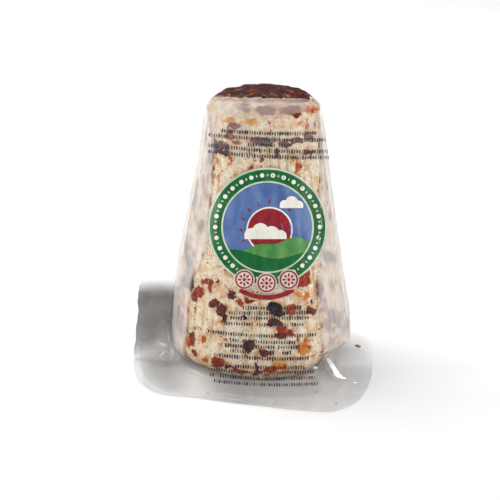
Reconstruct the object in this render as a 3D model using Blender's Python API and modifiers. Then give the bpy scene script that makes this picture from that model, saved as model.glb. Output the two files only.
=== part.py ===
"""A whole ricotta, vacuum packed in a clear film bag.

The cheese is a tall cone with its tip cut off. It was drained in a ribbed basket, which left
upright grooves all round it, and it has a dark baked top. It stands on its wide end. The film
clings to it and ends at the foot in a loose flap: an apron spread on the table in front and
on the right, and an ear that stands up on the left. Cheese and bag make one closed solid.
Metres, +Z up, front towards -Y, origin at the middle of the flat foot.
"""
import math

import bpy
from mathutils import Vector, noise

MM = 0.001

# Cheese with its skin of film
HEIGHT = 196 * MM
GIRTH = ((0, 65.6), (20, 65.3), (41, 63.4), (79, 58.1), (118, 51.0), (156, 45.2), (196, 40.3))
LEAN = ((0, 0.0), (79, -0.7), (118, 0.2), (156, 1.5), (196, 1.8))
TOP_EDGE_INSET = 9.5 * MM
TOP_EDGE_DROP = 12 * MM
TOP_DOME = 1.6 * MM
TOP_CRAGS = 1.3 * MM
TOP_CRAG_WIDTH = 8 * MM
SIDE_WAVES = 0.7 * MM
SIDE_WAVE_HEIGHT = 45 * MM
SIDE_WAVES_ROUND = 2.1
SMOOTH_ANGLE = math.radians(35)

# Foot edge, which sags more towards some sides: direction in degrees, reach inwards, rise
FOOT_EDGE = (
    (0, 28, 26), (60, 16, 18), (120, 12, 14), (165, 10, 10), (185, 14, 10), (215, 28, 14),
    (245, 17, 14), (270, 12, 12), (297, 15, 14), (325, 32, 24), (345, 33, 28), (360, 28, 26),
)
FOOT_INSET = 16 * MM
FOOT_RISE = 16 * MM

# Grooves left by the basket
RIBS = 44
RIB_DEPTH = 1.1 * MM
RIB_GROOVE = 0.22
RIB_LOW = 16 * MM
RIB_HIGH = 178 * MM
RIB_FADE = 18 * MM

# Mesh of the turned body
COLUMNS_PER_RIB = 3
SIDE_ROWS = 14
EDGE_ROWS = 4
TOP_RINGS = 4

# Loose end of the bag, from the ear round the front to the right-hand side.
# Each row: direction in which it leaves the cheese, height there, how soon it falls to the
# table (0 straight, 1 at once), then the place of its free edge: right, forward, up.
LOOSE_END = (
    (176, 74, 0.0, -62, 0, 76),
    (178, 66, 0.0, -83, 0, 63),
    (180, 50, 0.0, -89, 0, 50),
    (182, 34, 0.0, -90, 1, 31),
    (186, 20, 0.1, -92, 5, 14),
    (194, 12, 0.4, -92.5, 18, 4),
    (204, 10, 0.7, -91, 40, 1.5),
    (216, 9, 0.8, -85.5, 66, 1.2),
    (228, 9, 0.8, -72, 86, 1.2),
    (242, 9, 0.8, -48, 92.5, 1.2),
    (256, 9, 0.8, -22, 101.5, 1.2),
    (270, 9, 0.8, 4, 109.5, 1.2),
    (284, 9, 0.8, 28, 117, 1.2),
    (298, 9, 0.8, 50, 118, 1.2),
    (311, 9, 0.8, 68, 96, 1.2),
    (324, 9, 0.8, 78, 56, 1.4),
    (340, 10, 0.8, 81, 18, 1.6),
    (356, 11, 0.8, 81.3, -14, 1.8),
    (372, 12, 0.7, 76, -33, 2),
    (390, 12, 0.7, 64, -44, 2.5),
    (408, 12, 0.6, 47, -52, 4),
)
FILM_THICKNESS = 1.2 * MM
FILM_ROOT = 4 * MM
FILM_LENGTHS = 50
FILM_WIDTHS = 9
FILM_RIPPLE = 1.2 * MM
FILM_RIPPLE_WIDTH = 26 * MM
FILM_FALL = 0.55
PUCKER_AT = Vector((-70 * MM, -7 * MM))
PUCKER_RADIUS = 8 * MM
PUCKER_RISE = 5 * MM


def smooth_through(rows, at, column=1):
    """Value of one column of a table at a given first value, on a smooth curve."""
    spans = list(zip(rows, rows[1:]))
    number = next((k for k, (_, far) in enumerate(spans) if at <= far[0]), len(spans) - 1)
    near, far = spans[number]
    before = rows[max(number - 1, 0)]
    after = rows[min(number + 2, len(rows) - 1)]
    width = far[0] - near[0]
    share = min(max((at - near[0]) / width, 0.0), 1.0)
    slope_in = (far[column] - before[column]) / (far[0] - before[0]) * width
    slope_out = (after[column] - near[column]) / (after[0] - near[0]) * width
    rise = far[column] - near[column]
    curve = slope_in * share * (1 - share) ** 2 - slope_out * share ** 2 * (1 - share)
    return near[column] + rise * share ** 2 * (3 - 2 * share) + curve


def girth(height):
    """Radius of the cheese at a height, before its edges are rounded."""
    return smooth_through(GIRTH, height / MM) * MM


def ease(value):
    """Smooth step from 0 to 1."""
    value = min(max(value, 0.0), 1.0)
    return value * value * (3 - 2 * value)


def body_profile():
    """Outline of the cheese from the middle of the top down to the middle of the foot."""
    rim = girth(HEIGHT) - TOP_EDGE_INSET
    points = []
    for ring in range(TOP_RINGS):
        radius = rim * ring / TOP_RINGS
        points.append((radius, HEIGHT - TOP_DOME * (radius / rim) ** 2))
    for row in range(EDGE_ROWS + 1):
        turn = math.radians(90 * row / EDGE_ROWS)
        height = HEIGHT - TOP_DOME - TOP_EDGE_DROP * (1 - math.cos(turn))
        points.append((girth(height) - TOP_EDGE_INSET * (1 - math.sin(turn)), height))
    side_top = points[-1][1]
    for row in range(1, SIDE_ROWS):
        height = side_top + (FOOT_RISE - side_top) * row / SIDE_ROWS
        points.append((girth(height), height))
    for row in range(EDGE_ROWS + 1):
        turn = math.radians(90 * row / EDGE_ROWS)
        height = FOOT_RISE * (1 - math.sin(turn))
        points.append((girth(height) - FOOT_INSET * (1 - math.cos(turn)), height))
    points.append((0.0, 0.0))
    return points


def shifted_to_rib(turn):
    """Turn angle moved so that each groove has a column in it and one on each shoulder."""
    rib, part = divmod(turn / (2 * math.pi) * RIBS, 1.0)
    shoulder = 1 / COLUMNS_PER_RIB
    if part <= shoulder:
        part = part / shoulder * RIB_GROOVE
    elif part >= 1 - shoulder:
        part = 1 - (1 - part) / shoulder * RIB_GROOVE
    else:
        middle = (part - shoulder) / (1 - 2 * shoulder)
        part = RIB_GROOVE + middle * (1 - 2 * RIB_GROOVE)
    return (rib + part) / RIBS * 2 * math.pi


def groove(turn, height):
    """Depth of the basket's groove at a place on the side."""
    part = turn / (2 * math.pi) * RIBS % 1.0
    reach = max(0.0, 1 - min(part, 1 - part) / RIB_GROOVE)
    fade = ease((height - RIB_LOW) / RIB_FADE) * ease((RIB_HIGH - height) / RIB_FADE)
    return RIB_DEPTH * reach * fade


def settled(point):
    """Place on the finished cheese of a point on the plain turned body."""
    radius = math.hypot(point.x, point.y)
    height = point.z
    turn = shifted_to_rib(math.atan2(point.y, point.x) % (2 * math.pi))
    side = Vector((math.cos(turn), math.sin(turn), 0))
    facing = math.degrees(turn)
    inset = smooth_through(FOOT_EDGE, facing, 1) * MM
    rise = smooth_through(FOOT_EDGE, facing, 2) * MM
    if height <= 0:
        return side * radius / (girth(0) - FOOT_INSET) * (girth(0) - inset)
    if height < FOOT_RISE:
        share = (girth(height) - radius) / FOOT_INSET
        height = height / FOOT_RISE * rise
        radius = girth(height) - share * inset
    wave = noise.noise(side * SIDE_WAVES_ROUND + Vector((0, 0, height / SIDE_WAVE_HEIGHT)))
    radius += SIDE_WAVES * wave * ease(height / FOOT_RISE) - groove(turn, height)
    place = side * radius
    crag = noise.noise(place / TOP_CRAG_WIDTH) + 0.5 * noise.noise(place / TOP_CRAG_WIDTH * 2)
    top = ease((height - HEIGHT + TOP_EDGE_DROP + TOP_DOME) / TOP_EDGE_DROP)
    place.z = height + TOP_CRAGS * crag * top
    place.x += smooth_through(LEAN, height / MM) * MM
    return place


def turned_body():
    """The cheese: a turned profile, then grooved, leaned and made uneven."""
    profile = body_profile()
    mesh = bpy.data.meshes.new("cheese_profile")
    edges = [(k, k + 1) for k in range(len(profile) - 1)]
    mesh.from_pydata([(radius, 0, height) for radius, height in profile], edges, [])
    outline = bpy.data.objects.new("cheese_profile", mesh)
    parts.objects.link(outline)
    screw = outline.modifiers.new("turn", "SCREW")
    screw.steps = RIBS * COLUMNS_PER_RIB
    screw.render_steps = screw.steps
    screw.use_merge_vertices = True
    screw.merge_threshold = 0.01 * MM
    turned = bpy.data.meshes.new_from_object(outline.evaluated_get(depsgraph()))
    bpy.data.objects.remove(outline)
    for vertex in turned.vertices:
        vertex.co = settled(vertex.co)
    turned.shade_smooth()
    turned.set_sharp_from_angle(angle=SMOOTH_ANGLE)
    return turned


def leaving_point(facing, height):
    """Point just under the skin of the cheese, where the loose film starts."""
    turn = math.radians(facing)
    inset = smooth_through(FOOT_EDGE, facing % 360, 1) * MM
    rise = smooth_through(FOOT_EDGE, facing % 360, 2) * MM
    low = max(0.0, 1 - height / rise)
    radius = girth(height) - inset * (1 - math.sqrt(1 - low * low)) - FILM_ROOT
    return Vector((math.cos(turn) * radius, math.sin(turn) * radius, height))


def film_point(along, across):
    """Point of the loose film: along its free edge, and across from the cheese to the edge."""
    rows = [(number,) + row for number, row in enumerate(LOOSE_END)]
    facing, height, fall, right, forward, up = (
        smooth_through(rows, along * (len(rows) - 1), column) for column in range(1, 7)
    )
    root = leaving_point(facing, height * MM)
    edge = Vector((right, -forward, up)) * MM
    near = root.lerp(edge, 1 / 3)
    near.z -= near.z * FILM_FALL * fall
    far = root.lerp(edge, 2 / 3)
    far.z += (edge.z - far.z) * fall
    back = 1 - across
    place = root * back ** 3 + edge * across ** 3
    place += near * 3 * back * back * across + far * 3 * back * across * across
    pucker = (place.xy - PUCKER_AT).length / PUCKER_RADIUS
    place.z += PUCKER_RISE * math.exp(-pucker * pucker)
    ripple = FILM_RIPPLE * noise.noise(place / FILM_RIPPLE_WIDTH) * math.sin(math.pi / 2 * across)
    upright = 1 - ease(fall * 2)
    place.y += ripple * upright
    place.z += abs(ripple) * (1 - upright)
    place.z = max(place.z, FILM_THICKNESS * 0.75)
    return place


def loose_film():
    """The bag's loose end: an open sheet with a wall to it."""
    rows = FILM_LENGTHS + 1
    columns = FILM_WIDTHS + 1
    points = [
        film_point(row / FILM_LENGTHS, column / FILM_WIDTHS)
        for row in range(rows)
        for column in range(columns)
    ]
    faces = []
    for row in range(FILM_LENGTHS):
        for column in range(FILM_WIDTHS):
            corner = row * columns + column
            faces.append((corner, corner + columns, corner + columns + 1, corner + 1))
    mesh = bpy.data.meshes.new("loose_film")
    mesh.from_pydata(points, [], faces)
    film = bpy.data.objects.new("loose_film", mesh)
    film.hide_render = True
    film.display_type = "WIRE"
    wall = film.modifiers.new("wall", "SOLIDIFY")
    wall.thickness = FILM_THICKNESS
    wall.offset = 0
    return film


def cheese_material():
    """Cream cheese speckled with pepper, under glossy film."""
    material = bpy.data.materials.new("ricotta_under_film")
    material.use_nodes = True
    shader = material.node_tree.nodes["Principled BSDF"]
    shader.inputs["Base Color"].default_value = (0.72, 0.62, 0.47, 1)
    shader.inputs["Roughness"].default_value = 0.35
    shader.inputs["Metallic"].default_value = 0
    return material


def depsgraph():
    """The scene as it is evaluated now."""
    bpy.context.view_layer.update()
    return bpy.context.evaluated_depsgraph_get()


def new_collection(name):
    """Collection in the scene."""
    collection = bpy.data.collections.new(name)
    bpy.context.scene.collection.children.link(collection)
    return collection


for old in list(bpy.data.objects):
    bpy.data.objects.remove(old)

parts = new_collection("ricotta_in_bag")
cutters = new_collection("cutters")

film = loose_film()
cutters.objects.link(film)

ricotta = bpy.data.objects.new("ricotta_in_bag", turned_body())
ricotta.data.materials.append(cheese_material())
parts.objects.link(ricotta)
join = ricotta.modifiers.new("loose_end", "BOOLEAN")
join.operation = "UNION"
join.object = film
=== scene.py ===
"""Looks of a whole ricotta in a clear vacuum bag.

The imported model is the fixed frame. Its one solid is replaced by the cheese itself, by the
film that clings to it, by the bag's top seal, folded forward, and by the bag's loose end round
the foot. The print on the film is plain shapes that lie on the film.
"""
import math
import random

import bmesh
import bpy
import numpy as np
from mathutils import Matrix, Vector, noise
from mathutils.bvhtree import BVHTree


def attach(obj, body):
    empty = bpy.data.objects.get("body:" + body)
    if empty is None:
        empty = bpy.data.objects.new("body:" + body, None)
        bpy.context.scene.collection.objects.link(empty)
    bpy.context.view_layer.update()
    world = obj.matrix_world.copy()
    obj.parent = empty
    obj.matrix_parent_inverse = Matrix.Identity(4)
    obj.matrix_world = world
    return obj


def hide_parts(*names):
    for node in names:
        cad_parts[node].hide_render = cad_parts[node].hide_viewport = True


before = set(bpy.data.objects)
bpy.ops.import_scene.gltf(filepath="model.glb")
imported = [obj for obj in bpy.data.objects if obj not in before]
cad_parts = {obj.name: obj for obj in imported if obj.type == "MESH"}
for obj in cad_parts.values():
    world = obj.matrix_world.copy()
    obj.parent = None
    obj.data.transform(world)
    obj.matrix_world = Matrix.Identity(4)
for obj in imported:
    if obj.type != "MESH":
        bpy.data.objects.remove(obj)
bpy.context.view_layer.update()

MM = 0.001
NODE = "ricotta_in_bag"

# Camera: long lens, a little above the cheese. The picture is 500 by 500 pixels.
PICTURE = 500
CAMERA_ABOVE = math.radians(17.5)
CAMERA_AWAY = 1.6
CAMERA_AIM = Vector((-8.0, 0, 79.2)) * MM
PIXEL_AT_AIM = 0.726 * MM
SENSOR = 36.0

# Cheese, as in the part: radius by height, sideways lean by height, the rounded edge and the
# crags of its top, the waves of its side, and its uneven foot edge as direction, inset, rise.
# Only here: TOP_SWELL, how far the oven puffed up the middle of the top, and the two GROOVE
# values, how deep the basket's ribs are pressed into the cheese and into the film.
HEIGHT = 196 * MM
GIRTH = ((0, 65.6), (20, 65.3), (41, 63.4), (79, 58.1), (118, 51.0), (156, 45.2), (196, 40.3))
LEAN = ((0, 0.0), (79, -0.7), (118, 0.2), (156, 1.5), (196, 1.8))
TOP_EDGE_INSET = 9.5 * MM
TOP_EDGE_DROP = 12 * MM
TOP_DOME = 1.6 * MM
TOP_CRAGS = 1.3 * MM
TOP_CRAG_WIDTH = 8 * MM
TOP_SWELL = 4.0 * MM
TOP_SWELL_AT = 2 * MM
TOP_SWELL_REACH = 38 * MM
SIDE_WAVES = 0.7 * MM
SIDE_WAVE_HEIGHT = 45 * MM
SIDE_WAVES_ROUND = 2.1
FOOT_EDGE = (
    (0, 28, 26), (60, 16, 18), (120, 12, 14), (165, 10, 10), (185, 14, 10), (215, 28, 14),
    (245, 17, 14), (270, 12, 12), (297, 15, 14), (325, 32, 24), (345, 33, 28), (360, 28, 26),
)
FOOT_INSET = 16 * MM
FOOT_RISE = 16 * MM
RIBS = 44
RIB_GROOVE = 1.4 * MM
FILM_GROOVE = 0.45 * MM

# Dark crust, in mm: its middle on the top, how far out it starts and stops fading, its lowest
# height; and how deep the baked crags and the pits of the curd go
CRUST_AT = (4.0, 2.0)
CRUST_FADE = (29, 45)
CRUST_FROM = 180
CRAG_DEPTH = 0.9
PIT_DEPTH = 1.2

# Loose end of the bag, as in the part: direction in which it leaves the cheese, height there,
# how soon it falls to the table, then its free edge: right, forward, up
LOOSE_END = (
    (176, 74, 0.0, -62, 0, 76), (178, 66, 0.0, -83, 0, 63), (180, 50, 0.0, -89, 0, 50),
    (182, 34, 0.0, -90, 1, 31), (186, 20, 0.1, -92, 5, 14), (194, 12, 0.4, -92.5, 18, 4),
    (204, 10, 0.7, -91, 40, 1.5), (216, 9, 0.8, -85.5, 66, 1.2), (228, 9, 0.8, -72, 86, 1.2),
    (242, 9, 0.8, -48, 92.5, 1.2), (256, 9, 0.8, -22, 101.5, 1.2), (270, 9, 0.8, 4, 109.5, 1.2),
    (284, 9, 0.8, 28, 117, 1.2), (298, 9, 0.8, 50, 118, 1.2), (311, 9, 0.8, 68, 96, 1.2),
    (324, 9, 0.8, 78, 56, 1.4), (340, 10, 0.8, 81, 18, 1.6), (356, 11, 0.8, 81.3, -14, 1.8),
    (372, 12, 0.7, 76, -33, 2), (390, 12, 0.7, 64, -44, 2.5), (408, 12, 0.6, 47, -52, 4),
)
# Also as in the part: how far in the loose end starts, how it falls and ripples, its pucker
FILM_ROOT = 4 * MM
FILM_FALL = 0.55
FILM_RIPPLE = 1.2 * MM
FILM_RIPPLE_WIDTH = 26 * MM
PUCKER_AT = (-70 * MM, -7 * MM)
PUCKER_RADIUS = 8 * MM
PUCKER_RISE = 5 * MM
# Only here: small gathers at the left, painted darker in their middle and lighter on their ridges, the
# share of the way out at which the weld starts, the air between the two films, and a bubble at the right,
# painted white as a highlight
GATHER_AT = (-66 * MM, -19 * MM)
GATHER_FOLDS = 6
GATHER_RISE = 2.4 * MM
WELD_FROM = 0.84
AIR_HEIGHT = 4 * MM
BUBBLE_AT = (38.5 * MM, -57 * MM)
BUBBLE_REACH = 3.2 * MM
BUBBLE_RISE = 1.2 * MM

# Sharp crease in the loose end, in mm: its ends, then width and crest at each end, then how
# steeply its flank falls
CREASE_FROM = (46, -34)
CREASE_TO = (51.5, -67)
CREASE_WIDTH = (4.4, 9.0)
CREASE_CREST = (9.2, 6.3)
CREASE_SLOPE = 0.43

# Loose end's looks: how far it hides things where it lies, and how far it hides things under painted dark
# grey shade where it stands up, the height in mm at which the upright film starts to clear, and how far
# out the painted bright line along the weld lies
LYING_HAZE = 0.08
UPRIGHT_HAZE_AND_PAINTED_SHADE = 0.84
CLEAR_ABOVE = 43
PAINTED_HIGHLIGHT_LINE = 0.93

# Gap between film and cheese where it clings, and where it stands off at the bag's two sides;
# then, by height in mm, the directions in degrees between which the front and back are clear
CLING_GAP = 0.5 * MM
STAND_OFF_GAP = 1.6 * MM
CLEAR_FROM = ((0, 212), (17, 212), (36, 215), (64, 215), (80, 221), (97, 226), (152, 219), (196, 214))
CLEAR_TO = ((0, 314), (31, 313), (77, 315), (120, 325), (150, 334), (196, 336))

# Spots in the cheese, seen from the front: picture x, y, half width, half height, tone.
# Tone runs from 0, yellow, over 0.4, orange red, and 0.8, dark red brown, to 1, nearly black.
SPOTS = (
    (204, 281.5, 4, 3, 0.6), (210.5, 286, 3, 5.5, 0.62), (198, 292.5, 5, 5, 0.62),
    (193, 297, 3, 4, 0.75), (231.3, 295.5, 4.5, 5, 0.88), (215, 303, 6.5, 5, 0.8),
    (222, 310, 5.5, 6, 0.82), (224.5, 318, 3, 4, 0.85), (239.5, 302, 4, 4, 0.52),
    (249, 301.8, 7, 2.6, 0.72), (276, 309.5, 8.5, 6.5, 1.0), (280, 314, 6, 4, 0.98),
    (292.5, 308, 6.5, 5.5, 0.5), (307, 297.5, 3, 5, 0.36), (298.5, 295, 3.4, 3, 0.2),
    (311.5, 310.5, 5.5, 4.5, 0.75), (304, 280, 7.5, 6, 0.6), (308, 275, 4, 3.4, 0.58),
    (300, 285, 4, 3, 0.64), (275, 324, 8.5, 4.5, 0.84), (282, 333, 7, 6, 0.66),
    (291, 332, 4, 3.2, 0.55), (248.5, 346, 6.5, 5.5, 0.85), (265, 354, 7, 4, 0.74),
    (307.5, 347, 3.4, 3.4, 0.55), (304, 350, 6.5, 6, 0.3), (308, 342, 4, 3, 0.35),
    (281, 364, 7, 3.5, 0.12), (297.5, 362.5, 3, 2.6, 0.06), (217.5, 362.5, 6, 6.5, 0.66),
    (205, 360, 5, 2.6, 0.4), (202.5, 340, 3.4, 4, 0.42), (193.5, 353, 3.2, 3, 0.66),
    (190, 340, 4.4, 6.5, 0.66), (186, 343, 3, 4, 0.4), (240, 372, 9, 2.6, 0.42),
    (256, 374, 8, 2.6, 0.7), (270, 372.5, 8, 3, 0.5), (284, 371, 7, 2.6, 0.3), (228, 367, 4, 2.4, 0.62),
    (246.6, 356.3, 2.6, 2, 0.7), (217, 279.5, 1.2, 2.6, 0.6), (244.5, 318.4, 2, 1.5, 0.85),
    (323, 353, 1.6, 3, 0.6), (314, 356, 1.5, 2, 0.3), (336, 328.7, 1.3, 1.3, 1.0),
    (321.3, 290, 3.6, 7, 0.78), (331, 257, 4.5, 5, 0.72), (335.7, 316, 4, 6, 0.66),
    (330, 325, 4.5, 5, 0.62), (342, 321, 2.6, 6, 0.8), (326, 302, 3, 3, 0.62), (330, 310, 4, 2.5, 0.55),
    (339, 345, 3, 5, 0.6), (334, 286, 1.6, 4, 0.6), (329, 232, 1.6, 4, 0.6), (233.5, 126, 7, 4.2, 0.72),
    (229, 135, 6, 4.6, 0.75), (235, 142.5, 5, 3, 0.66), (256, 140, 6.5, 3.8, 0.72),
    (265.5, 143, 7, 5, 0.88), (273.6, 141, 5, 3.2, 0.75), (286, 144, 6.4, 3.2, 0.78),
    (277, 152.5, 3, 5, 0.68), (219, 148, 9, 5.4, 0.78), (212.5, 143.4, 5, 3, 0.7),
    (224, 152.5, 4, 3, 0.8), (228.5, 159, 2.4, 5, 0.52), (298.6, 166, 2, 6.5, 0.5),
    (254.8, 162, 1.4, 1.4, 0.62), (297, 141, 6.5, 3.6, 0.74), (308.4, 136.5, 4.4, 2.6, 0.72),
    (309, 152, 5.6, 2.8, 0.7), (207, 157, 2.2, 7.5, 0.74), (216.5, 161.5, 3, 3.4, 0.2),
    (274.5, 127.4, 1.5, 2, 0.36), (308.4, 125.6, 1.6, 4, 0.42), (268, 122, 2.2, 1.8, 0.6),
    (250, 122, 7, 3.6, 0.16), (228, 120, 8, 3, 0.18), (245, 106, 6, 5.5, 0.72),
    (266.4, 109.6, 12, 4.6, 0.72), (292.3, 110.0, 12, 5.6, 0.74), (312, 109, 6, 3, 0.4),
    (200.4, 180.6, 1.4, 4, 0.62), (201, 191, 1.4, 4, 0.62), (205.7, 197, 1.4, 2, 0.6),
    (208, 202, 1.4, 2, 0.6), (198, 225.6, 2.2, 5, 0.7), (184, 242, 1.8, 6, 0.66),
    (183.2, 258, 2.2, 7, 0.8), (186.5, 268, 3.4, 8.5, 0.68), (182, 281, 4, 6, 0.72),
    (189.5, 283, 3.2, 7.5, 0.85), (179, 300, 2, 5, 0.4), (176, 322, 3, 7, 0.66),
    (181, 331, 2.4, 4, 0.6), (187, 312, 1.6, 3, 0.5),
)
TONES = (
    (0.0, "#D2A450"), (0.2, "#C98B3C"), (0.36, "#BC6222"), (0.5, "#A63A1E"), (0.66, "#7E281B"),
    (0.82, "#4E1E14"), (0.92, "#30150E"), (1.0, "#17110C"),
)
# Spots drawn by lot: how many for the sides and back, and how many small ones all over; the
# directions between which the spots above serve instead, and the height below which all lie
MORE_SPOTS = 150
SMALL_SPOTS = 420
FRONT_LOOK = (192, 348)
SPOTS_BELOW = 184 * MM

# Print, in picture pixels: rows of small marks as left x, y, middle y, right x, y
MARK_ROWS = (
    (222.7, 130.5, 133.4, 315, 132.8), (209.7, 134.6, 139.3, 327, 139.6),
    (248.6, 144.6, 145.0, 289.6, 145.0), (209.7, 145.2, 150.6, 327, 151.4),
    (209.7, 151.4, 156.6, 328, 157.2), (243.4, 307.6, 308.0, 300, 307.4),
    (229.7, 312.6, 313.2, 311.8, 312.0), (231.3, 317.6, 318.2, 307.6, 317.6),
    (224.5, 323.0, 324.6, 302.4, 324.4), (208.7, 331.0, 335.8, 315, 334.4),
    (230.8, 339.8, 342.0, 294.5, 342.4), (226.0, 345.0, 347.0, 298.7, 347.0),
    (230.8, 350.4, 352.4, 290.3, 352.6), (215.0, 354.6, 358.2, 307.6, 358.0),
    (223.4, 365.4, 367.4, 303.4, 367.2), (211.6, 369.6, 372.8, 313, 372.0),
    (210.6, 375.0, 378.8, 314.5, 377.8), (209.6, 380.4, 385.0, 317, 384.0),
)
# Bars in those rows; the round design in picture pixels; then how far the design lies off the
# film, each layer of it off the one before, and the bars off the film
MARK_HEIGHT = 2.9 * MM
MARK_WIDTH = 0.8 * MM
MARK_PITCH = 1.8 * MM
MEDALLION_AT = (267.5, 227.0)
MEDALLION_RADIUS = 59.4
FIELD_RADIUS = 46.0
DOT_RING = 51.9
SUN_RADIUS = 21.7
ROSETTES = ((244.5, 279.5), (266.5, 283.0), (288.5, 279.5))
INK_LIFT = 0.18 * MM
INK_LAYER = 0.05 * MM
MARK_LIFT = 0.4 * MM

# Fold of the top seal, in picture pixels: ends of its back edge and of its front edge as
# left x, y, right x, y, and the curve of the front edge
FOLD_BACK = (213.5, 97.8, 317.5, 100.4)
FOLD_FRONT = (206.0, 119.5, 323.5, 119.5)
FOLD_LOWEST = 255
FOLD_CURVE = (15, 17.5)

# Crumbs in the loose end: picture x, y, size in mm
CRUMBS = (
    (358, 346, 2.3), (166, 321, 0.8), (208, 393, 0.7), (316, 392, 0.7), (276, 401, 0.5), (336, 403, 0.8),
    (172, 300, 0.4), (225, 398, 0.4),
)

# Fineness of the meshes: columns round, then rows of top, top edge, side and foot; steps of
# the loose end, the seal, the flat fields and the rows of bars. Then the floor's side in
# metres, and the angle from which an edge of the loose end is sharp.
CHEESE_COLUMNS = 440
CHEESE_ROWS = (24, 12, 108, 8)
FILM_COLUMNS = 396
FILM_ROWS = (12, 12, 96, 4)
LOOSE_LENGTHS = 300
LOOSE_WIDTHS = 54
FOLD_STEPS = 26
FOLD_COLUMNS = 120
FIELD_COLUMNS = 60
FIELD_ROWS = 8
MARK_STEPS = 16
FLOOR_SIZE = 8.0
SHARP_FROM = math.radians(40)

# What a Mix node of colours needs
OF_COLOURS = {"data_type": "RGBA", "out": 2}

CAMERA_BACK = Vector((0, -math.cos(CAMERA_ABOVE), math.sin(CAMERA_ABOVE)))
CAMERA_RIGHT = Vector((1, 0, 0))
CAMERA_UP = CAMERA_BACK.cross(CAMERA_RIGHT)
CAMERA_AT = CAMERA_AIM + CAMERA_BACK * CAMERA_AWAY
TAN_PER_PIXEL = PIXEL_AT_AIM / CAMERA_AWAY


def smooth_through(rows, at, column=1):
    """Values of one column of a table at given first values, on a smooth curve."""
    table = np.asarray(rows, float)
    keys = table[:, 0]
    values = table[:, column]
    slopes = np.empty(len(keys))
    slopes[1:-1] = (values[2:] - values[:-2]) / (keys[2:] - keys[:-2])
    slopes[0] = (values[1] - values[0]) / (keys[1] - keys[0])
    slopes[-1] = (values[-1] - values[-2]) / (keys[-1] - keys[-2])
    near = np.clip(np.searchsorted(keys, at, side="left") - 1, 0, len(keys) - 2)
    width = keys[near + 1] - keys[near]
    share = np.clip((at - keys[near]) / width, 0, 1)
    rise = values[near + 1] - values[near]
    curve = slopes[near] * share * (1 - share) ** 2 - slopes[near + 1] * share ** 2 * (1 - share)
    return values[near] + rise * share ** 2 * (3 - 2 * share) + curve * width


def ease(value):
    """Smooth step from 0 to 1."""
    value = np.clip(value, 0, 1)
    return value * value * (3 - 2 * value)


def hump(value, middle, width):
    """Bell curve, 1 at its middle."""
    return np.exp(-((value - middle) / width) ** 2)


def noise_at(points, size, shift=0.0):
    """Smooth noise, about -1 to 1, with lumps of a given size."""
    return np.array([noise.noise(Vector(p)) for p in np.asarray(points) / size + shift])


def girth(height):
    """Radius of the cheese at a height, before its edges are rounded."""
    return smooth_through(GIRTH, height / MM) * MM


def body_profile(top_rings, edge_rows, side_rows, foot_rings):
    """Radii and heights of the plain turned body, from the middle of the top to that of the foot."""
    rim = girth(HEIGHT) - TOP_EDGE_INSET
    share = np.arange(top_rings) / top_rings
    radii = [rim * share]
    heights = [HEIGHT - TOP_DOME * share ** 2]
    turn = np.linspace(0, math.pi / 2, edge_rows + 1)
    height = HEIGHT - TOP_DOME - TOP_EDGE_DROP * (1 - np.cos(turn))
    radii.append(girth(height) - TOP_EDGE_INSET * (1 - np.sin(turn)))
    heights.append(height)
    height = np.linspace(height[-1], FOOT_RISE, side_rows + 1)[1:-1]
    radii.append(girth(height))
    heights.append(height)
    height = FOOT_RISE * (1 - np.sin(turn))
    radii.append(girth(height) - FOOT_INSET * (1 - np.cos(turn)))
    heights.append(height)
    share = np.arange(1, foot_rings + 1) / foot_rings
    radii.append((girth(0) - FOOT_INSET) * (1 - share))
    heights.append(np.zeros(foot_rings))
    return np.concatenate(radii), np.concatenate(heights)


def on_body(radius, height, turn):
    """Places on the cheese in its skin, without ribs, of points of the plain turned body."""
    facing = np.degrees(turn) % 360
    inset = smooth_through(FOOT_EDGE, facing, 1) * MM
    rise = smooth_through(FOOT_EDGE, facing, 2) * MM
    side = np.stack([np.cos(turn), np.sin(turn), np.zeros_like(turn)], -1)
    low = height < FOOT_RISE
    flat = height <= 0
    share = (girth(height) - radius) / FOOT_INSET
    settled = np.where(low, height / FOOT_RISE * rise, height)
    out = np.where(low, girth(settled) - share * inset, radius)
    lift = np.stack([np.zeros_like(turn), np.zeros_like(turn), settled / SIDE_WAVE_HEIGHT], -1)
    wave = noise_at(side * SIDE_WAVES_ROUND + lift, 1.0)
    out = out + SIDE_WAVES * wave * ease(settled / FOOT_RISE)
    out = np.where(flat, radius / (girth(0) - FOOT_INSET) * (girth(0) - inset), out)
    place = side * out[:, None]
    crag = noise_at(place, TOP_CRAG_WIDTH) + 0.5 * noise_at(place, TOP_CRAG_WIDTH / 2)
    top = ease((settled - HEIGHT + TOP_EDGE_DROP + TOP_DOME) / TOP_EDGE_DROP)
    place[:, 2] = np.where(flat, 0, settled + TOP_CRAGS * crag * top)
    place[:, 0] += np.where(flat, 0, smooth_through(LEAN, settled / MM) * MM)
    return place


def placed(name, data):
    """Object of given data, in the scene."""
    thing = bpy.data.objects.new(name, data)
    bpy.context.scene.collection.objects.link(thing)
    return thing


def mesh_object(name, points, faces, edges=()):
    """Smooth object with a mesh of given points, faces and edges."""
    mesh = bpy.data.meshes.new(name)
    mesh.from_pydata([tuple(p) for p in points], edges, faces)
    mesh.shade_smooth()
    return placed(name, mesh)


def points_of(thing):
    """Vertex places of an object's mesh."""
    flat = np.empty(len(thing.data.vertices) * 3)
    thing.data.vertices.foreach_get("co", flat)
    return flat.reshape(-1, 3)


def normals_of(thing):
    """Vertex normals of an object's mesh."""
    flat = np.empty(len(thing.data.vertices) * 3)
    thing.data.vertices.foreach_get("normal", flat)
    return flat.reshape(-1, 3)


def move_points(thing, points):
    """Give an object's mesh new vertex places."""
    thing.data.vertices.foreach_set("co", np.asarray(points).ravel())
    thing.data.update()


def write_values(thing, **layers):
    """Store named numbers for each vertex, for the material to read."""
    for name, values in layers.items():
        layer = thing.data.attributes.new(name, "FLOAT", "POINT")
        layer.data.foreach_set("value", np.asarray(values, np.float32))


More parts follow.
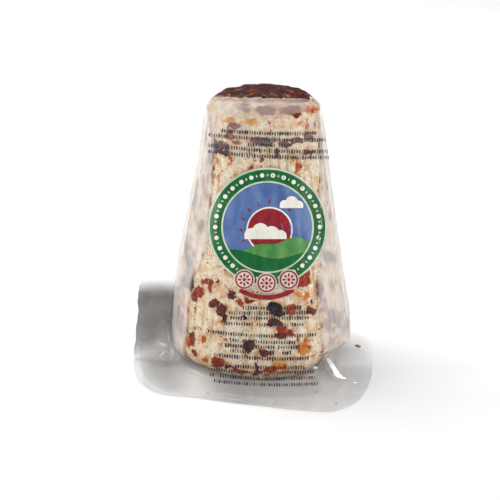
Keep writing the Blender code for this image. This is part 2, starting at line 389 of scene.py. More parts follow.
def turned_shell(name, columns, rows):
    """Closed skin of the cheese: rings of columns between two single end points."""
    radii, heights = body_profile(*rows)
    turns = np.arange(columns) / columns * 2 * math.pi
    rings = len(radii) - 2
    radius = np.concatenate([radii[:1], np.repeat(radii[1:-1], columns), radii[-1:]])
    height = np.concatenate([heights[:1], np.repeat(heights[1:-1], columns), heights[-1:]])
    turn = np.concatenate([[0], np.tile(turns, rings), [0]])
    points = on_body(radius, height, turn)
    last = len(points) - 1
    faces = []
    for column in range(columns):
        after = (column + 1) % columns
        faces.append((0, 1 + column, 1 + after))
        faces.append((last, last - columns + after, last - columns + column))
    for ring in range(rings - 1):
        start = 1 + ring * columns
        for column in range(columns):
            after = (column + 1) % columns
            upper = start + column
            faces.append((upper, upper + columns, start + columns + after, start + after))
    return mesh_object(name, points, faces)


def domed(points):
    """Raise the middle of the top, which the oven puffed up."""
    far = np.hypot(points[:, 0] - TOP_SWELL_AT, points[:, 1]) / TOP_SWELL_REACH
    points[:, 2] += TOP_SWELL * np.clip(1 - far * far, 0, 1) * (points[:, 2] > HEIGHT / 2)
    return points


def cling(points):
    """How far each point of the skin lies from the clear front and back, 0 clear to 1 side."""
    turn = np.degrees(np.arctan2(points[:, 1], points[:, 0])) % 360
    height = points[:, 2] / MM
    left = smooth_through(CLEAR_FROM, height)
    right = smooth_through(CLEAR_TO, height)
    front = np.where(turn > 180, turn, 360 - turn)
    waver = 2.5 * noise_at(points, 18 * MM)
    past = np.maximum(left - front, front - right) + waver
    return ease((past + 2) / 5)


def add(tree, kind, sockets=None, stops=(), out=0, **settings):
    """Add a node with its settings, its colour stops, and its inputs: values or links. Returns one
    of its outputs, or all of them where out is None."""
    item = tree.nodes.new(kind)
    for name, value in settings.items():
        setattr(item, name, value)
    for number, (place, colour) in enumerate(stops):
        line = item.color_ramp.elements
        stop = line[number] if number < 2 else line.new(place)
        stop.position = place
        stop.color = linear(colour) if isinstance(colour, str) else (colour,) * 3 + (1,)
    for name, value in (sockets or {}).items():
        if isinstance(value, bpy.types.NodeSocket):
            tree.links.new(value, item.inputs[name])
        elif isinstance(value, str) and value.startswith("#"):
            item.inputs[name].default_value = linear(value)
        else:
            item.inputs[name].default_value = value
    return item.outputs[out] if item.outputs and out is not None else item.outputs


def linear(colour):
    """sRGB hex to linear colour with alpha 1."""
    parts = [int(colour[k:k + 2], 16) / 255 for k in (1, 3, 5)]
    return tuple(p / 12.92 if p <= 0.04045 else ((p + 0.055) / 1.055) ** 2.4 for p in parts) + (1,)


def per(size):
    """Texture scale for a pattern of a real size in millimetres."""
    return 1 / (size * MM)


def new_material(name):
    """New material, its node tree, and the places on its piece, which its patterns read."""
    material = bpy.data.materials.new(name)
    material.use_nodes = True
    tree = material.node_tree
    tree.nodes.clear()
    return material, tree, add(tree, "ShaderNodeTexCoord", out="Object")


def shape_tree(name, sizes):
    """Geometry tree with named inputs. Returns the tree and its inputs' sockets."""
    tree = bpy.data.node_groups.new(name, "GeometryNodeTree")
    face = tree.interface
    face.new_socket("Geometry", in_out="INPUT", socket_type="NodeSocketGeometry")
    for label, value in sizes.items():
        kind = "NodeSocketInt" if isinstance(value, int) else "NodeSocketFloat"
        face.new_socket(label, in_out="INPUT", socket_type=kind).default_value = value
    face.new_socket("Material", in_out="INPUT", socket_type="NodeSocketMaterial")
    face.new_socket("Geometry", in_out="OUTPUT", socket_type="NodeSocketGeometry")
    return tree, add(tree, "NodeGroupInput", out=None)


def ended(tree, given, shape):
    """The tree with its end: instances made real, the material set, and the result put out."""
    real = add(tree, "GeometryNodeRealizeInstances", {0: shape})
    painted = add(tree, "GeometryNodeSetMaterial", {"Geometry": real, "Material": given["Material"]})
    add(tree, "NodeGroupOutput", {0: painted})
    return tree


def shaped(thing, tree, values):
    """Run a geometry tree on an object with some inputs set, and keep the result as its mesh."""
    modifier = thing.modifiers.new(tree.name, "NODES")
    modifier.node_group = tree
    ids = {item.name: item.identifier for item in tree.interface.items_tree if item.in_out == "INPUT"}
    for label, value in values.items():
        modifier[ids[label]] = value
    bpy.context.view_layer.update()
    ready = thing.evaluated_get(bpy.context.evaluated_depsgraph_get())
    mesh = bpy.data.meshes.new_from_object(ready)
    thing.modifiers.remove(modifier)
    thing.data = mesh
    mesh.name = thing.name
    return thing


def seen_at(x, y):
    """Direction in which the camera sees a picture pixel."""
    across = CAMERA_RIGHT * (x - PICTURE / 2) * TAN_PER_PIXEL
    return (across + CAMERA_UP * (PICTURE / 2 - y) * TAN_PER_PIXEL - CAMERA_BACK).normalized()


def picture_places(points):
    """Picture pixels at which the camera sees points."""
    away = points - np.array(CAMERA_AT)
    depth = -away @ np.array(CAMERA_BACK)
    x = PICTURE / 2 + away @ np.array(CAMERA_RIGHT) / depth / TAN_PER_PIXEL
    y = PICTURE / 2 - away @ np.array(CAMERA_UP) / depth / TAN_PER_PIXEL
    return x, y


def rib_tree():
    """Upright grooves round a turned body, as its basket pressed them."""
    sizes = {
        "Ribs": RIBS, "Depth": 1.0 * MM, "Groove": 0.2, "Low": 16 * MM, "High": 178 * MM,
        "Fade": 18 * MM, "Wobble": 0.9, "Wobble Height": 34 * MM, "Worn": 0.15,
    }
    tree, given = shape_tree("basket_ribs", sizes)
    place = add(tree, "GeometryNodeInputPosition")
    axes = add(tree, "ShaderNodeSeparateXYZ", {0: place}, out=None)
    angle = add(tree, "ShaderNodeMath", {0: axes[1], 1: axes[0]}, operation="ARCTAN2")
    turn = add(tree, "ShaderNodeMath", {0: angle, 1: 2 * math.pi}, operation="DIVIDE")
    count = add(tree, "ShaderNodeMath", {0: turn, 1: given["Ribs"]}, operation="MULTIPLY")
    size = add(tree, "ShaderNodeMath", {0: 1, 1: given["Wobble Height"]}, operation="DIVIDE")
    wander = add(tree, "ShaderNodeTexNoise", {"Vector": place, "Scale": size, "Detail": 1})
    middle = add(tree, "ShaderNodeMath", {0: wander, 1: 0.5}, operation="SUBTRACT")
    shift = add(tree, "ShaderNodeMath", {0: middle, 1: given["Wobble"]}, operation="MULTIPLY")
    total = add(tree, "ShaderNodeMath", {0: count, 1: shift}, operation="ADD")
    nearest = add(tree, "ShaderNodeMath", {0: total}, operation="ROUND")
    off = add(tree, "ShaderNodeMath", {0: total, 1: nearest}, operation="SUBTRACT")
    gap = add(tree, "ShaderNodeMath", {0: off}, operation="ABSOLUTE")
    reach = add(tree, "ShaderNodeMapRange", {
        "Value": gap, "From Min": given["Groove"], "From Max": 0.0,
    }, interpolation_type="SMOOTHSTEP")
    low = add(tree, "ShaderNodeMath", {0: axes[2], 1: given["Low"]}, operation="SUBTRACT")
    high = add(tree, "ShaderNodeMath", {0: given["High"], 1: axes[2]}, operation="SUBTRACT")
    inner = add(tree, "ShaderNodeMath", {0: low, 1: high}, operation="MINIMUM")
    fade = add(tree, "ShaderNodeMapRange", {
        "Value": inner, "From Max": given["Fade"],
    }, interpolation_type="SMOOTHSTEP")
    patch = add(tree, "ShaderNodeTexNoise", {"Vector": place, "Scale": size, "Detail": 2})
    worn = add(tree, "ShaderNodeMapRange", {
        "Value": patch, "From Min": 0.38, "From Max": 0.6, "To Min": given["Worn"],
    })
    even = add(tree, "ShaderNodeMath", {0: reach, 1: fade}, operation="MULTIPLY")
    depth = add(tree, "ShaderNodeMath", {0: even, 1: worn}, operation="MULTIPLY")
    inward = add(tree, "ShaderNodeMath", {0: given["Depth"], 1: -1}, operation="MULTIPLY")
    push = add(tree, "ShaderNodeMath", {0: depth, 1: inward}, operation="MULTIPLY")
    flat = add(tree, "ShaderNodeCombineXYZ", {0: axes[0], 1: axes[1]})
    out = add(tree, "ShaderNodeVectorMath", {0: flat}, operation="NORMALIZE")
    move = add(tree, "ShaderNodeVectorMath", {0: out, "Scale": push}, operation="SCALE")
    stored = add(tree, "GeometryNodeStoreNamedAttribute", {
        "Geometry": given["Geometry"], "Name": "groove", "Value": depth,
    }, data_type="FLOAT", domain="POINT")
    pressed = add(tree, "GeometryNodeSetPosition", {"Geometry": stored, "Offset": move})
    return ended(tree, given, pressed)


def scatter_tree():
    """Flat flakes strewn over a surface."""
    sizes = {"Per Square Metre": 1000.0, "Size": 0.8 * MM, "Height": 0.3, "Seed": 1}
    tree, given = shape_tree("strewn_flakes", sizes)
    spread = add(tree, "GeometryNodeDistributePointsOnFaces", {
        "Mesh": given["Geometry"], "Density": given["Per Square Metre"],
        "Seed": given["Seed"],
    }, out=None)
    flake = add(tree, "GeometryNodeMeshIcoSphere", {
        "Radius": given["Size"], "Subdivisions": 1,
    })
    long = add(tree, "FunctionNodeRandomValue", {2: 0.45, 3: 1.2, "Seed": 11}, out=1)
    wide = add(tree, "FunctionNodeRandomValue", {2: 0.3, 3: 0.8, "Seed": 12}, out=1)
    scale = add(tree, "ShaderNodeCombineXYZ", {0: long, 1: wide, 2: given["Height"]})
    turn = add(tree, "FunctionNodeRandomValue", {2: 0.0, 3: 2 * math.pi, "Seed": 13}, out=1)
    spin = add(tree, "ShaderNodeCombineXYZ", {2: turn})
    spun = add(tree, "FunctionNodeRotateRotation", {
        "Rotation": spread["Rotation"], "Rotate By": spin,
    }, rotation_space="LOCAL")
    put = add(tree, "GeometryNodeInstanceOnPoints", {
        "Points": spread["Points"], "Instance": flake, "Rotation": spun, "Scale": scale,
    })
    return ended(tree, given, put)


def row_tree():
    """Small upright bars in uneven groups along lines."""
    sizes = {
        "Pitch": MARK_PITCH, "Width": MARK_WIDTH, "Height": MARK_HEIGHT, "Group": 9 * MM,
        "Gaps": 0.36, "Seed": 3,
    }
    tree, given = shape_tree("rows_of_bars", sizes)
    line = add(tree, "GeometryNodeMeshToCurve", {0: given["Geometry"]})
    steps = add(tree, "GeometryNodeResampleCurve", {
        "Curve": line, "Length": given["Pitch"],
    }, mode="LENGTH")
    place = add(tree, "GeometryNodeInputPosition")
    size = add(tree, "ShaderNodeMath", {0: 1, 1: given["Group"]}, operation="DIVIDE")
    words = add(tree, "ShaderNodeTexNoise", {"Vector": place, "Scale": size, "Detail": 2})
    there = add(tree, "FunctionNodeCompare", {0: words, 1: given["Gaps"]},
                data_type="FLOAT", operation="GREATER_THAN")
    bar = add(tree, "GeometryNodeMeshGrid", {
        "Size X": given["Width"], "Size Y": given["Height"], "Vertices X": 2, "Vertices Y": 4,
    })
    wide = add(tree, "FunctionNodeRandomValue", {2: 0.6, 3: 1.7, "Seed": given["Seed"]}, out=1)
    high = add(tree, "FunctionNodeRandomValue", {2: 0.62, 3: 1.05, "Seed": 21}, out=1)
    scale = add(tree, "ShaderNodeCombineXYZ", {0: wide, 1: high, 2: 1})
    lean = add(tree, "FunctionNodeRandomValue", {2: -0.14, 3: 0.1, "Seed": 22}, out=1)
    turn = add(tree, "ShaderNodeCombineXYZ", {2: lean})
    put = add(tree, "GeometryNodeInstanceOnPoints", {
        "Points": steps, "Selection": there, "Instance": bar, "Rotation": turn, "Scale": scale,
    })
    return ended(tree, given, put)


def ring_tree():
    """Round or long dots set in a ring, each pointing outwards."""
    sizes = {"Count": 24, "Ring": 30 * MM, "Dot": 1.0 * MM, "Long": 1.0, "Sides": 10, "First": 0.0}
    tree, given = shape_tree("ring_of_dots", sizes)
    ring = add(tree, "GeometryNodeMeshCircle", {
        "Vertices": given["Count"], "Radius": given["Ring"],
    })
    start = add(tree, "ShaderNodeCombineXYZ", {2: given["First"]})
    turned = add(tree, "GeometryNodeTransform", {"Geometry": ring, "Rotation": start})
    dot = add(tree, "GeometryNodeMeshCircle", {
        "Vertices": given["Sides"], "Radius": given["Dot"],
    }, fill_type="NGON")
    place = add(tree, "GeometryNodeInputPosition")
    axes = add(tree, "ShaderNodeSeparateXYZ", {0: place}, out=None)
    angle = add(tree, "ShaderNodeMath", {0: axes[1], 1: axes[0]}, operation="ARCTAN2")
    aim = add(tree, "ShaderNodeCombineXYZ", {2: angle})
    scale = add(tree, "ShaderNodeCombineXYZ", {0: given["Long"], 1: 1, 2: 1})
    put = add(tree, "GeometryNodeInstanceOnPoints", {
        "Points": turned, "Instance": dot, "Rotation": aim, "Scale": scale,
    })
    return ended(tree, given, put)


def curd_material():
    """Ricotta: soft white curd, baked and pressed. Matt, faintly translucent, cream, with pale
    curd grains, pepper specks, chilli pieces that stain the curd round them, and on top a
    glazed mahogany crust."""
    material, tree, place = new_material("ricotta_curd")
    edge = add(tree, "ShaderNodeAttribute", attribute_name="spot_edge", out="Fac")
    tone = add(tree, "ShaderNodeAttribute", attribute_name="spot_tone", out="Fac")
    groove = add(tree, "ShaderNodeAttribute", attribute_name="groove", out="Fac")
    crust = add(tree, "ShaderNodeAttribute", attribute_name="crust", out="Fac")

    broad = add(tree, "ShaderNodeTexNoise", {"Vector": place, "Scale": per(16), "Detail": 4})
    cream = add(tree, "ShaderNodeValToRGB", {0: broad}, stops=(
        (0.3, "#C6B69B"), (0.42, "#E5DCCB"), (0.55, "#E7DAC3"), (0.7, "#D8BF95")))
    grain = add(tree, "ShaderNodeTexVoronoi", {"Vector": place, "Scale": per(2.6)},
                feature="DISTANCE_TO_EDGE")
    seams = add(tree, "ShaderNodeMapRange", {"Value": grain, "From Max": 0.12, "To Min": 0.4,
                                             "To Max": 0})
    curd = add(tree, "ShaderNodeMix", {0: seams, 6: cream, 7: "#CDB695"}, **OF_COLOURS)
    blush = add(tree, "ShaderNodeTexNoise", {"Vector": place, "Scale": per(8), "Detail": 5,
                                             "Roughness": 0.62})
    warm = add(tree, "ShaderNodeMapRange", {"Value": blush, "From Min": 0.5, "From Max": 0.68,
                                            "To Max": 0.85})
    stained = add(tree, "ShaderNodeMix", {0: warm, 6: curd, 7: "#D2AC78"}, **OF_COLOURS)
    dim = add(tree, "ShaderNodeTexNoise", {"Vector": place, "Scale": per(3.6), "Detail": 4,
                                           "Roughness": 0.7})
    dusk = add(tree, "ShaderNodeMapRange", {"Value": dim, "From Min": 0.5, "From Max": 0.72,
                                            "To Max": 0.6})
    stained = add(tree, "ShaderNodeMix", {0: dusk, 6: stained, 7: "#B79A78"}, **OF_COLOURS)
    pinch = add(tree, "ShaderNodeAttribute", attribute_name="pinch", out="Fac")
    crossed = add(tree, "ShaderNodeMath", {0: pinch, 1: blush}, operation="MULTIPLY")
    stained = add(tree, "ShaderNodeMix", {0: crossed, 6: stained, 7: "#6E4A33"}, **OF_COLOURS)
    line = add(tree, "ShaderNodeMapRange", {"Value": groove, "From Min": 0.3, "From Max": 1.0,
                                            "To Max": 0.5})
    ribbed = add(tree, "ShaderNodeMix", {0: line, 6: stained, 7: "#A98C66"}, **OF_COLOURS)

    halo = add(tree, "ShaderNodeMapRange", {"Value": edge, "From Min": -4.6, "From Max": 0.2,
                                            "To Max": 1.5}, interpolation_type="SMOOTHSTEP")
    uneven = add(tree, "ShaderNodeMapRange", {"Value": dim, "From Min": 0.38, "From Max": 0.66,
                                              "To Max": 0.62})
    patchy = add(tree, "ShaderNodeMath", {0: halo, 1: uneven}, operation="MULTIPLY", use_clamp=True)
    stain = add(tree, "ShaderNodeValToRGB", {0: blush}, stops=(
        (0.4, "#B98F52"), (0.52, "#C98A48"), (0.62, "#A35A34")))
    haloed = add(tree, "ShaderNodeMix", {0: patchy, 6: ribbed, 7: stain}, **OF_COLOURS)

    for size, share, radius, colours in (
        (4.2, 0.62, 0.17, ((0.0, "#7A2E1C"), (0.4, "#C07A32"), (0.7, "#4A1E14"))),
        (2.1, 0.68, 0.2, ((0.0, "#8C5A34"), (0.45, "#3A2119"), (0.75, "#A8532A"))),
        (1.3, 0.8, 0.24, ((0.0, "#6B5340"), (0.5, "#463228"), (0.8, "#B98A4C"))),
    ):
        cells = add(tree, "ShaderNodeTexVoronoi", {"Vector": place, "Scale": per(size)}, out=None)
        chance = add(tree, "ShaderNodeSeparateColor", {0: cells["Color"]}, out=None)
        near = add(tree, "ShaderNodeMath", {0: cells["Distance"], 1: radius}, operation="LESS_THAN")
        some = add(tree, "ShaderNodeMath", {0: chance[0], 1: share}, operation="GREATER_THAN")
        dot = add(tree, "ShaderNodeMath", {0: near, 1: some}, operation="MULTIPLY")
        soft = add(tree, "ShaderNodeMath", {0: dot, 1: 0.8}, operation="MULTIPLY")
        colour = add(tree, "ShaderNodeValToRGB", {0: chance[1]}, stops=colours)
        haloed = add(tree, "ShaderNodeMix", {0: soft, 6: haloed, 7: colour}, **OF_COLOURS)

    ragged = add(tree, "ShaderNodeTexNoise", {"Vector": place, "Scale": per(1.9), "Detail": 4,
                                              "Roughness": 0.65})
    jitter = add(tree, "ShaderNodeMapRange", {"Value": ragged, "To Min": -2.4, "To Max": 2.4})
    border = add(tree, "ShaderNodeMath", {0: edge, 1: jitter}, operation="ADD")
    inside = add(tree, "ShaderNodeMapRange", {"Value": border, "From Min": -0.12, "From Max": 0.3})
    blurred = add(tree, "ShaderNodeMapRange", {"Value": edge, "From Min": -1.2, "From Max": 1.4,
                                               "To Max": 0.95}, interpolation_type="SMOOTHSTEP")
    veiled = add(tree, "ShaderNodeAttribute", attribute_name="veiled", out="Fac")
    inside = add(tree, "ShaderNodeMix", {0: veiled, 2: inside, 3: blurred}, data_type="FLOAT")
    vary = add(tree, "ShaderNodeTexNoise", {"Vector": place, "Scale": per(3.4), "Detail": 4})
    spread = add(tree, "ShaderNodeMapRange", {"Value": vary, "From Min": 0.25, "From Max": 0.75,
                                              "To Min": -0.22, "To Max": 0.22})
    hue = add(tree, "ShaderNodeMath", {0: tone, 1: spread}, operation="ADD")
    piece = add(tree, "ShaderNodeValToRGB", {0: hue}, stops=TONES)
    spotted = add(tree, "ShaderNodeMix", {0: inside, 6: haloed, 7: piece}, **OF_COLOURS)

    baked = add(tree, "ShaderNodeTexNoise", {"Vector": place, "Scale": per(9), "Detail": 6,
                                             "Roughness": 0.62, "Distortion": 0.6})
    glaze = add(tree, "ShaderNodeValToRGB", {0: baked}, stops=(
        (0.36, "#0E0503"), (0.44, "#280B05"), (0.52, "#49130A"), (0.6, "#64210E"), (0.67, "#A1571F"),
        (0.73, "#C8924A")))
    rim = add(tree, "ShaderNodeMapRange", {"Value": crust, "From Min": 0.05, "From Max": 0.45})
    top = add(tree, "ShaderNodeMapRange", {"Value": crust, "From Min": 0.56, "From Max": 0.78})
    golden = add(tree, "ShaderNodeValToRGB", {0: baked}, stops=(
        (0.38, "#74451F"), (0.5, "#A87A42"), (0.62, "#C9A066")))
    tanned = add(tree, "ShaderNodeMix", {0: rim, 6: spotted, 7: golden}, **OF_COLOURS)
    colour = add(tree, "ShaderNodeMix", {0: top, 6: tanned, 7: glaze}, **OF_COLOURS)

    shine = add(tree, "ShaderNodeMapRange", {"Value": top, "To Min": 0.55, "To Max": 0.26})
    lumps = add(tree, "ShaderNodeTexNoise", {"Vector": place, "Scale": per(2.2), "Detail": 4})
    grains = add(tree, "ShaderNodeMath", {0: lumps, 1: grain}, operation="ADD")
    bump = add(tree, "ShaderNodeBump", {"Height": grains, "Strength": 0.5, "Distance": 0.35 * MM})
    shader = add(tree, "ShaderNodeBsdfPrincipled", {
        "Base Color": colour, "Roughness": shine, "Normal": bump, "IOR": 1.4, "Specular IOR Level": 0.15,
        "Subsurface Weight": 0.06, "Subsurface Radius": (1.0, 0.6, 0.35), "Subsurface Scale": 1.6 * MM,
    })
    add(tree, "ShaderNodeOutputMaterial", {0: shader})
    return material


def flake_material():
    """Dried chilli and pepper: crushed, matt to waxy, brown, brick red and ochre."""
    material, tree, place = new_material("crushed_chilli")
    pick = add(tree, "ShaderNodeTexNoise", {"Vector": place, "Scale": per(2.5), "Detail": 2})
    colour = add(tree, "ShaderNodeValToRGB", {0: pick}, stops=(
        (0.3, "#2B1610"), (0.45, "#6A2A1B"), (0.55, "#A4562A"), (0.68, "#C99346")))
    shader = add(tree, "ShaderNodeBsdfPrincipled", {"Base Color": colour, "Roughness": 0.5})
    add(tree, "ShaderNodeOutputMaterial", {0: shader})
    return material


def crumb_material():
    """Dried curd and pepper dust: matt, grey brown."""
    material, tree, place = new_material("dried_crumb")
    pick = add(tree, "ShaderNodeTexNoise", {"Vector": place, "Scale": per(1.2), "Detail": 3})
    colour = add(tree, "ShaderNodeValToRGB", {0: pick}, stops=((0.35, "#5A4B42"), (0.65, "#8B8079")))
    shader = add(tree, "ShaderNodeBsdfPrincipled", {"Base Color": colour, "Roughness": 0.8})
    add(tree, "ShaderNodeOutputMaterial", {0: shader})
    return material


def film_shader(tree, cover, colour, bump, gloss_roughness, shine):
    """Clear film: what it hides of the things behind it, under a thin even gloss."""
    body = add(tree, "ShaderNodeBsdfPrincipled", {
        "Base Color": colour, "Roughness": 0.5, "Normal": bump, "Specular IOR Level": 0.2,
    })
    clear = add(tree, "ShaderNodeBsdfTransparent")
    sheet = add(tree, "ShaderNodeMixShader", {0: cover, 1: clear, 2: body})
    gloss = add(tree, "ShaderNodeBsdfGlossy", {"Roughness": gloss_roughness, "Normal": bump})
    edge_on = add(tree, "ShaderNodeFresnel", {"IOR": 1.4})
    mirror = add(tree, "ShaderNodeMapRange", {"Value": edge_on, "To Min": shine / 60, "To Max": shine})
    dull = add(tree, "ShaderNodeAttribute", attribute_name="dull", out="Fac")
    clean = add(tree, "ShaderNodeMath", {0: 1.0, 1: dull}, operation="SUBTRACT")
    mirror = add(tree, "ShaderNodeMath", {0: mirror, 1: clean}, operation="MULTIPLY")
    mixed = add(tree, "ShaderNodeMixShader", {0: mirror, 1: sheet, 2: gloss})
    add(tree, "ShaderNodeOutputMaterial", {0: mixed})


def cling_film_material():
    """Polyamide and polyethylene film, shrunk on: clear and glossy where it clings, milky with
    upright streaks where it stands off the cheese."""
    material, tree, place = new_material("shrunk_barrier_film")
    milk = add(tree, "ShaderNodeAttribute", attribute_name="milk", out="Fac")
    tall = add(tree, "ShaderNodeMapping", {"Vector": place, "Scale": (1, 1, 0.7)})
    streak = add(tree, "ShaderNodeTexNoise", {"Vector": tall, "Scale": per(8), "Detail": 5,
                                              "Roughness": 0.6})
    uneven = add(tree, "ShaderNodeMapRange", {"Value": streak, "From Min": 0.3, "From Max": 0.7,
                                              "To Min": 0.84, "To Max": 1.12})
    cover = add(tree, "ShaderNodeMath", {0: milk, 1: uneven}, operation="MULTIPLY", use_clamp=True)
    colour = add(tree, "ShaderNodeValToRGB", {0: streak}, stops=(
        (0.35, "#F0E7E1"), (0.65, "#FAF6F3")))
    small = add(tree, "ShaderNodeTexNoise", {"Vector": tall, "Scale": per(2.2), "Detail": 3})
    bump = add(tree, "ShaderNodeBump", {"Height": small, "Strength": 0.35, "Distance": 0.4 * MM})
    film_shader(tree, cover, colour, bump, 0.08, 0.24)
    return material


def fold_material():
    """The same film, doubled and welded: greyish white, half seen through, soft creases."""
    material, tree, place = new_material("doubled_barrier_film")
    milk = add(tree, "ShaderNodeAttribute", attribute_name="milk", out="Fac")
    wide = add(tree, "ShaderNodeMapping", {"Vector": place, "Scale": (0.35, 1, 1)})
    streak = add(tree, "ShaderNodeTexNoise", {"Vector": wide, "Scale": per(6), "Detail": 5})
    uneven = add(tree, "ShaderNodeMapRange", {"Value": streak, "From Min": 0.3, "From Max": 0.7,
                                              "To Min": 0.8, "To Max": 1.2})
    cover = add(tree, "ShaderNodeMath", {0: milk, 1: uneven}, operation="MULTIPLY", use_clamp=True)
    bump = add(tree, "ShaderNodeBump", {"Height": streak, "Strength": 0.4, "Distance": 0.5 * MM})
    film_shader(tree, cover, "#DCCBC0", bump, 0.3, 0.1)
    return material


def loose_film_material():
    """The same film, hanging free with air in it: grey from painted shade, darker where it stands up and
    at the left, with painted white highlights and real bright highlights from its gloss.
    """
    material, tree, place = new_material("loose_barrier_film")
    haze = add(tree, "ShaderNodeAttribute", attribute_name="haze", out="Fac")
    shade = add(tree, "ShaderNodeAttribute", attribute_name="shade", out="Fac")
    soft = add(tree, "ShaderNodeTexNoise", {"Vector": place, "Scale": per(22), "Detail": 3})
    uneven = add(tree, "ShaderNodeMapRange", {"Value": soft, "From Min": 0.3, "From Max": 0.7,
                                              "To Min": 0.85, "To Max": 1.15})
    cover = add(tree, "ShaderNodeMath", {0: haze, 1: uneven}, operation="MULTIPLY", use_clamp=True)
    # This ramp paints the loose film's shade, dark grey to light grey, and its white end paints
    # highlights.
    colour = add(tree, "ShaderNodeValToRGB", {0: shade}, stops=(
        (0.0, "#3D3A38"), (0.5, "#8A8581"), (0.9, "#D0CECC"), (1.0, "#F4F4F4")))
    bump = add(tree, "ShaderNodeBump", {"Height": soft, "Strength": 0.2, "Distance": 0.5 * MM})
    film_shader(tree, cover, colour, bump, 0.06, 0.24)
    return material


def ink_material(name, low, high, size):
    """Flexographic ink on film: even, satin, with a slight mottle of a size in mm, drawn out upright:
    partly the cheese behind it, partly painted shade of the film's wrinkles."""
    material, tree, place = new_material(name)
    # Drawn out upright, the mottle paints light and dark streaks as the shade of the film's wrinkles.
    tall = add(tree, "ShaderNodeMapping", {"Vector": place, "Scale": (1, 1, 0.45)})
    mottle_and_painted_wrinkle_shade = add(tree, "ShaderNodeTexNoise", {"Vector": tall, "Scale": per(size), "Detail": 4})
    colour = add(tree, "ShaderNodeValToRGB", {0: mottle_and_painted_wrinkle_shade}, stops=((0.35, low), (0.65, high)))
    shader = add(tree, "ShaderNodeBsdfPrincipled", {
        "Base Color": colour, "Roughness": 0.3, "Specular IOR Level": 0.2,
    })
    add(tree, "ShaderNodeOutputMaterial", {0: shader})
    return material


def add_spot(layers, better, inside, hue):
    """Where a spot reaches further in than the spots before it, it takes their place."""
    edge, tone = layers
    better = better & (inside > edge)
    edge[better] = inside[better]
    tone[better] = hue


def front_spots(layers, points, normals, ragged):
    """Spots that the front shows, each at its place in the picture."""
    across, down = picture_places(points)
    across = across + 3.4 * noise_at(points, 5.5 * MM, 70)
    down = down + 3.4 * noise_at(points, 5.5 * MM, 80)
    seen = np.einsum("ij,ij->i", normals, np.array(CAMERA_AT) - points) > 0
    for x, y, wide, high, hue in SPOTS:
        far = np.hypot((across - x) / wide, (down - y) / high)
        size = math.sqrt(wide * high) * PIXEL_AT_AIM / MM
        add_spot(layers, seen, (1 - far) * size + ragged * min(1.0, size / 3), hue)


def drawn_spots(layers, points, ragged):
    """Spots of the sides and back, and small spots all over, at places drawn by lot."""
    draw = random.Random(17)
    warp = np.stack([noise_at(points, 6 * MM, shift) for shift in (91, 92, 93)], -1) * 2.4
    facing = np.degrees(np.arctan2(points[:, 1], points[:, 0])) % 360
    hidden = np.nonzero((facing < FRONT_LOOK[0]) | (facing > FRONT_LOOK[1]))[0]
    hidden = hidden[(points[hidden, 2] > 6 * MM) & (points[hidden, 2] < SPOTS_BELOW)]
    side_wall = np.nonzero((points[:, 2] > 4 * MM) & (points[:, 2] < SPOTS_BELOW))[0]
    for number in range(MORE_SPOTS + SMALL_SPOTS):
        small = number >= MORE_SPOTS
        choice = side_wall if small else hidden
        centre = points[choice[draw.randrange(len(choice))]]
        size = draw.uniform(0.3, 1.15) if small else draw.uniform(1.6, 6.0) * draw.uniform(0.6, 1.0)
        tilt = draw.uniform(0, math.pi)
        long = draw.uniform(1.0, 1.8)
        hue = draw.choice((0.1, 0.3, 0.5, 0.62, 0.66, 0.7, 0.75, 0.82, 0.85, 0.9, 1.0))
        turn = math.atan2(centre[1], centre[0])
        off = (points - centre) / MM + warp * (not small)
        side = -off[:, 0] * math.sin(turn) + off[:, 1] * math.cos(turn)
        deep = off[:, 0] * math.cos(turn) + off[:, 1] * math.sin(turn)
        first = side * math.cos(tilt) + off[:, 2] * math.sin(tilt)
        second = -side * math.sin(tilt) + off[:, 2] * math.cos(tilt)
        far = np.sqrt((first / long) ** 2 + second ** 2 + (deep * 0.6) ** 2)
        add_spot(layers, True, size - far + ragged * min(1.0, size / 3), hue)


def spot_layers(points, normals):
    """Of each point: how far inside the nearest spot it lies, in mm, and that spot's tone."""
    layers = (np.full(len(points), -6.0), np.zeros(len(points)))
    ragged = 1.3 * noise_at(points, 3.0 * MM) + 0.7 * noise_at(points, 1.4 * MM, 9)
    front_spots(layers, points, normals, ragged)
    drawn_spots(layers, points, ragged)
    return layers


def curd_depth(points, stand, upper):
    """How far in mm the cheese lies inside its film: lumps, pits, and crags in the crust."""
    gap = CLING_GAP / MM
    lumps = 0.28 * noise_at(points, 7 * MM) + 0.14 * noise_at(points, 2.8 * MM, 4)
    pits = np.clip(noise_at(points, 3.2 * MM, 31) - 0.3, 0, 1) * PIT_DEPTH
    crags = CRAG_DEPTH * np.abs(noise_at(points, 4.5 * MM, 50))
    crags = crags + 0.5 * np.abs(noise_at(points, 1.9 * MM, 60))
    depth = gap + 0.35 + (STAND_OFF_GAP / MM - gap) * stand - lumps + pits
    depth = depth * (1 - 0.7 * upper) + 0.7 * upper * crags
    foot = ease(points[:, 2] / (10 * MM))
    return np.clip(depth, gap, None) * (0.3 + 0.7 * foot) + 0.2


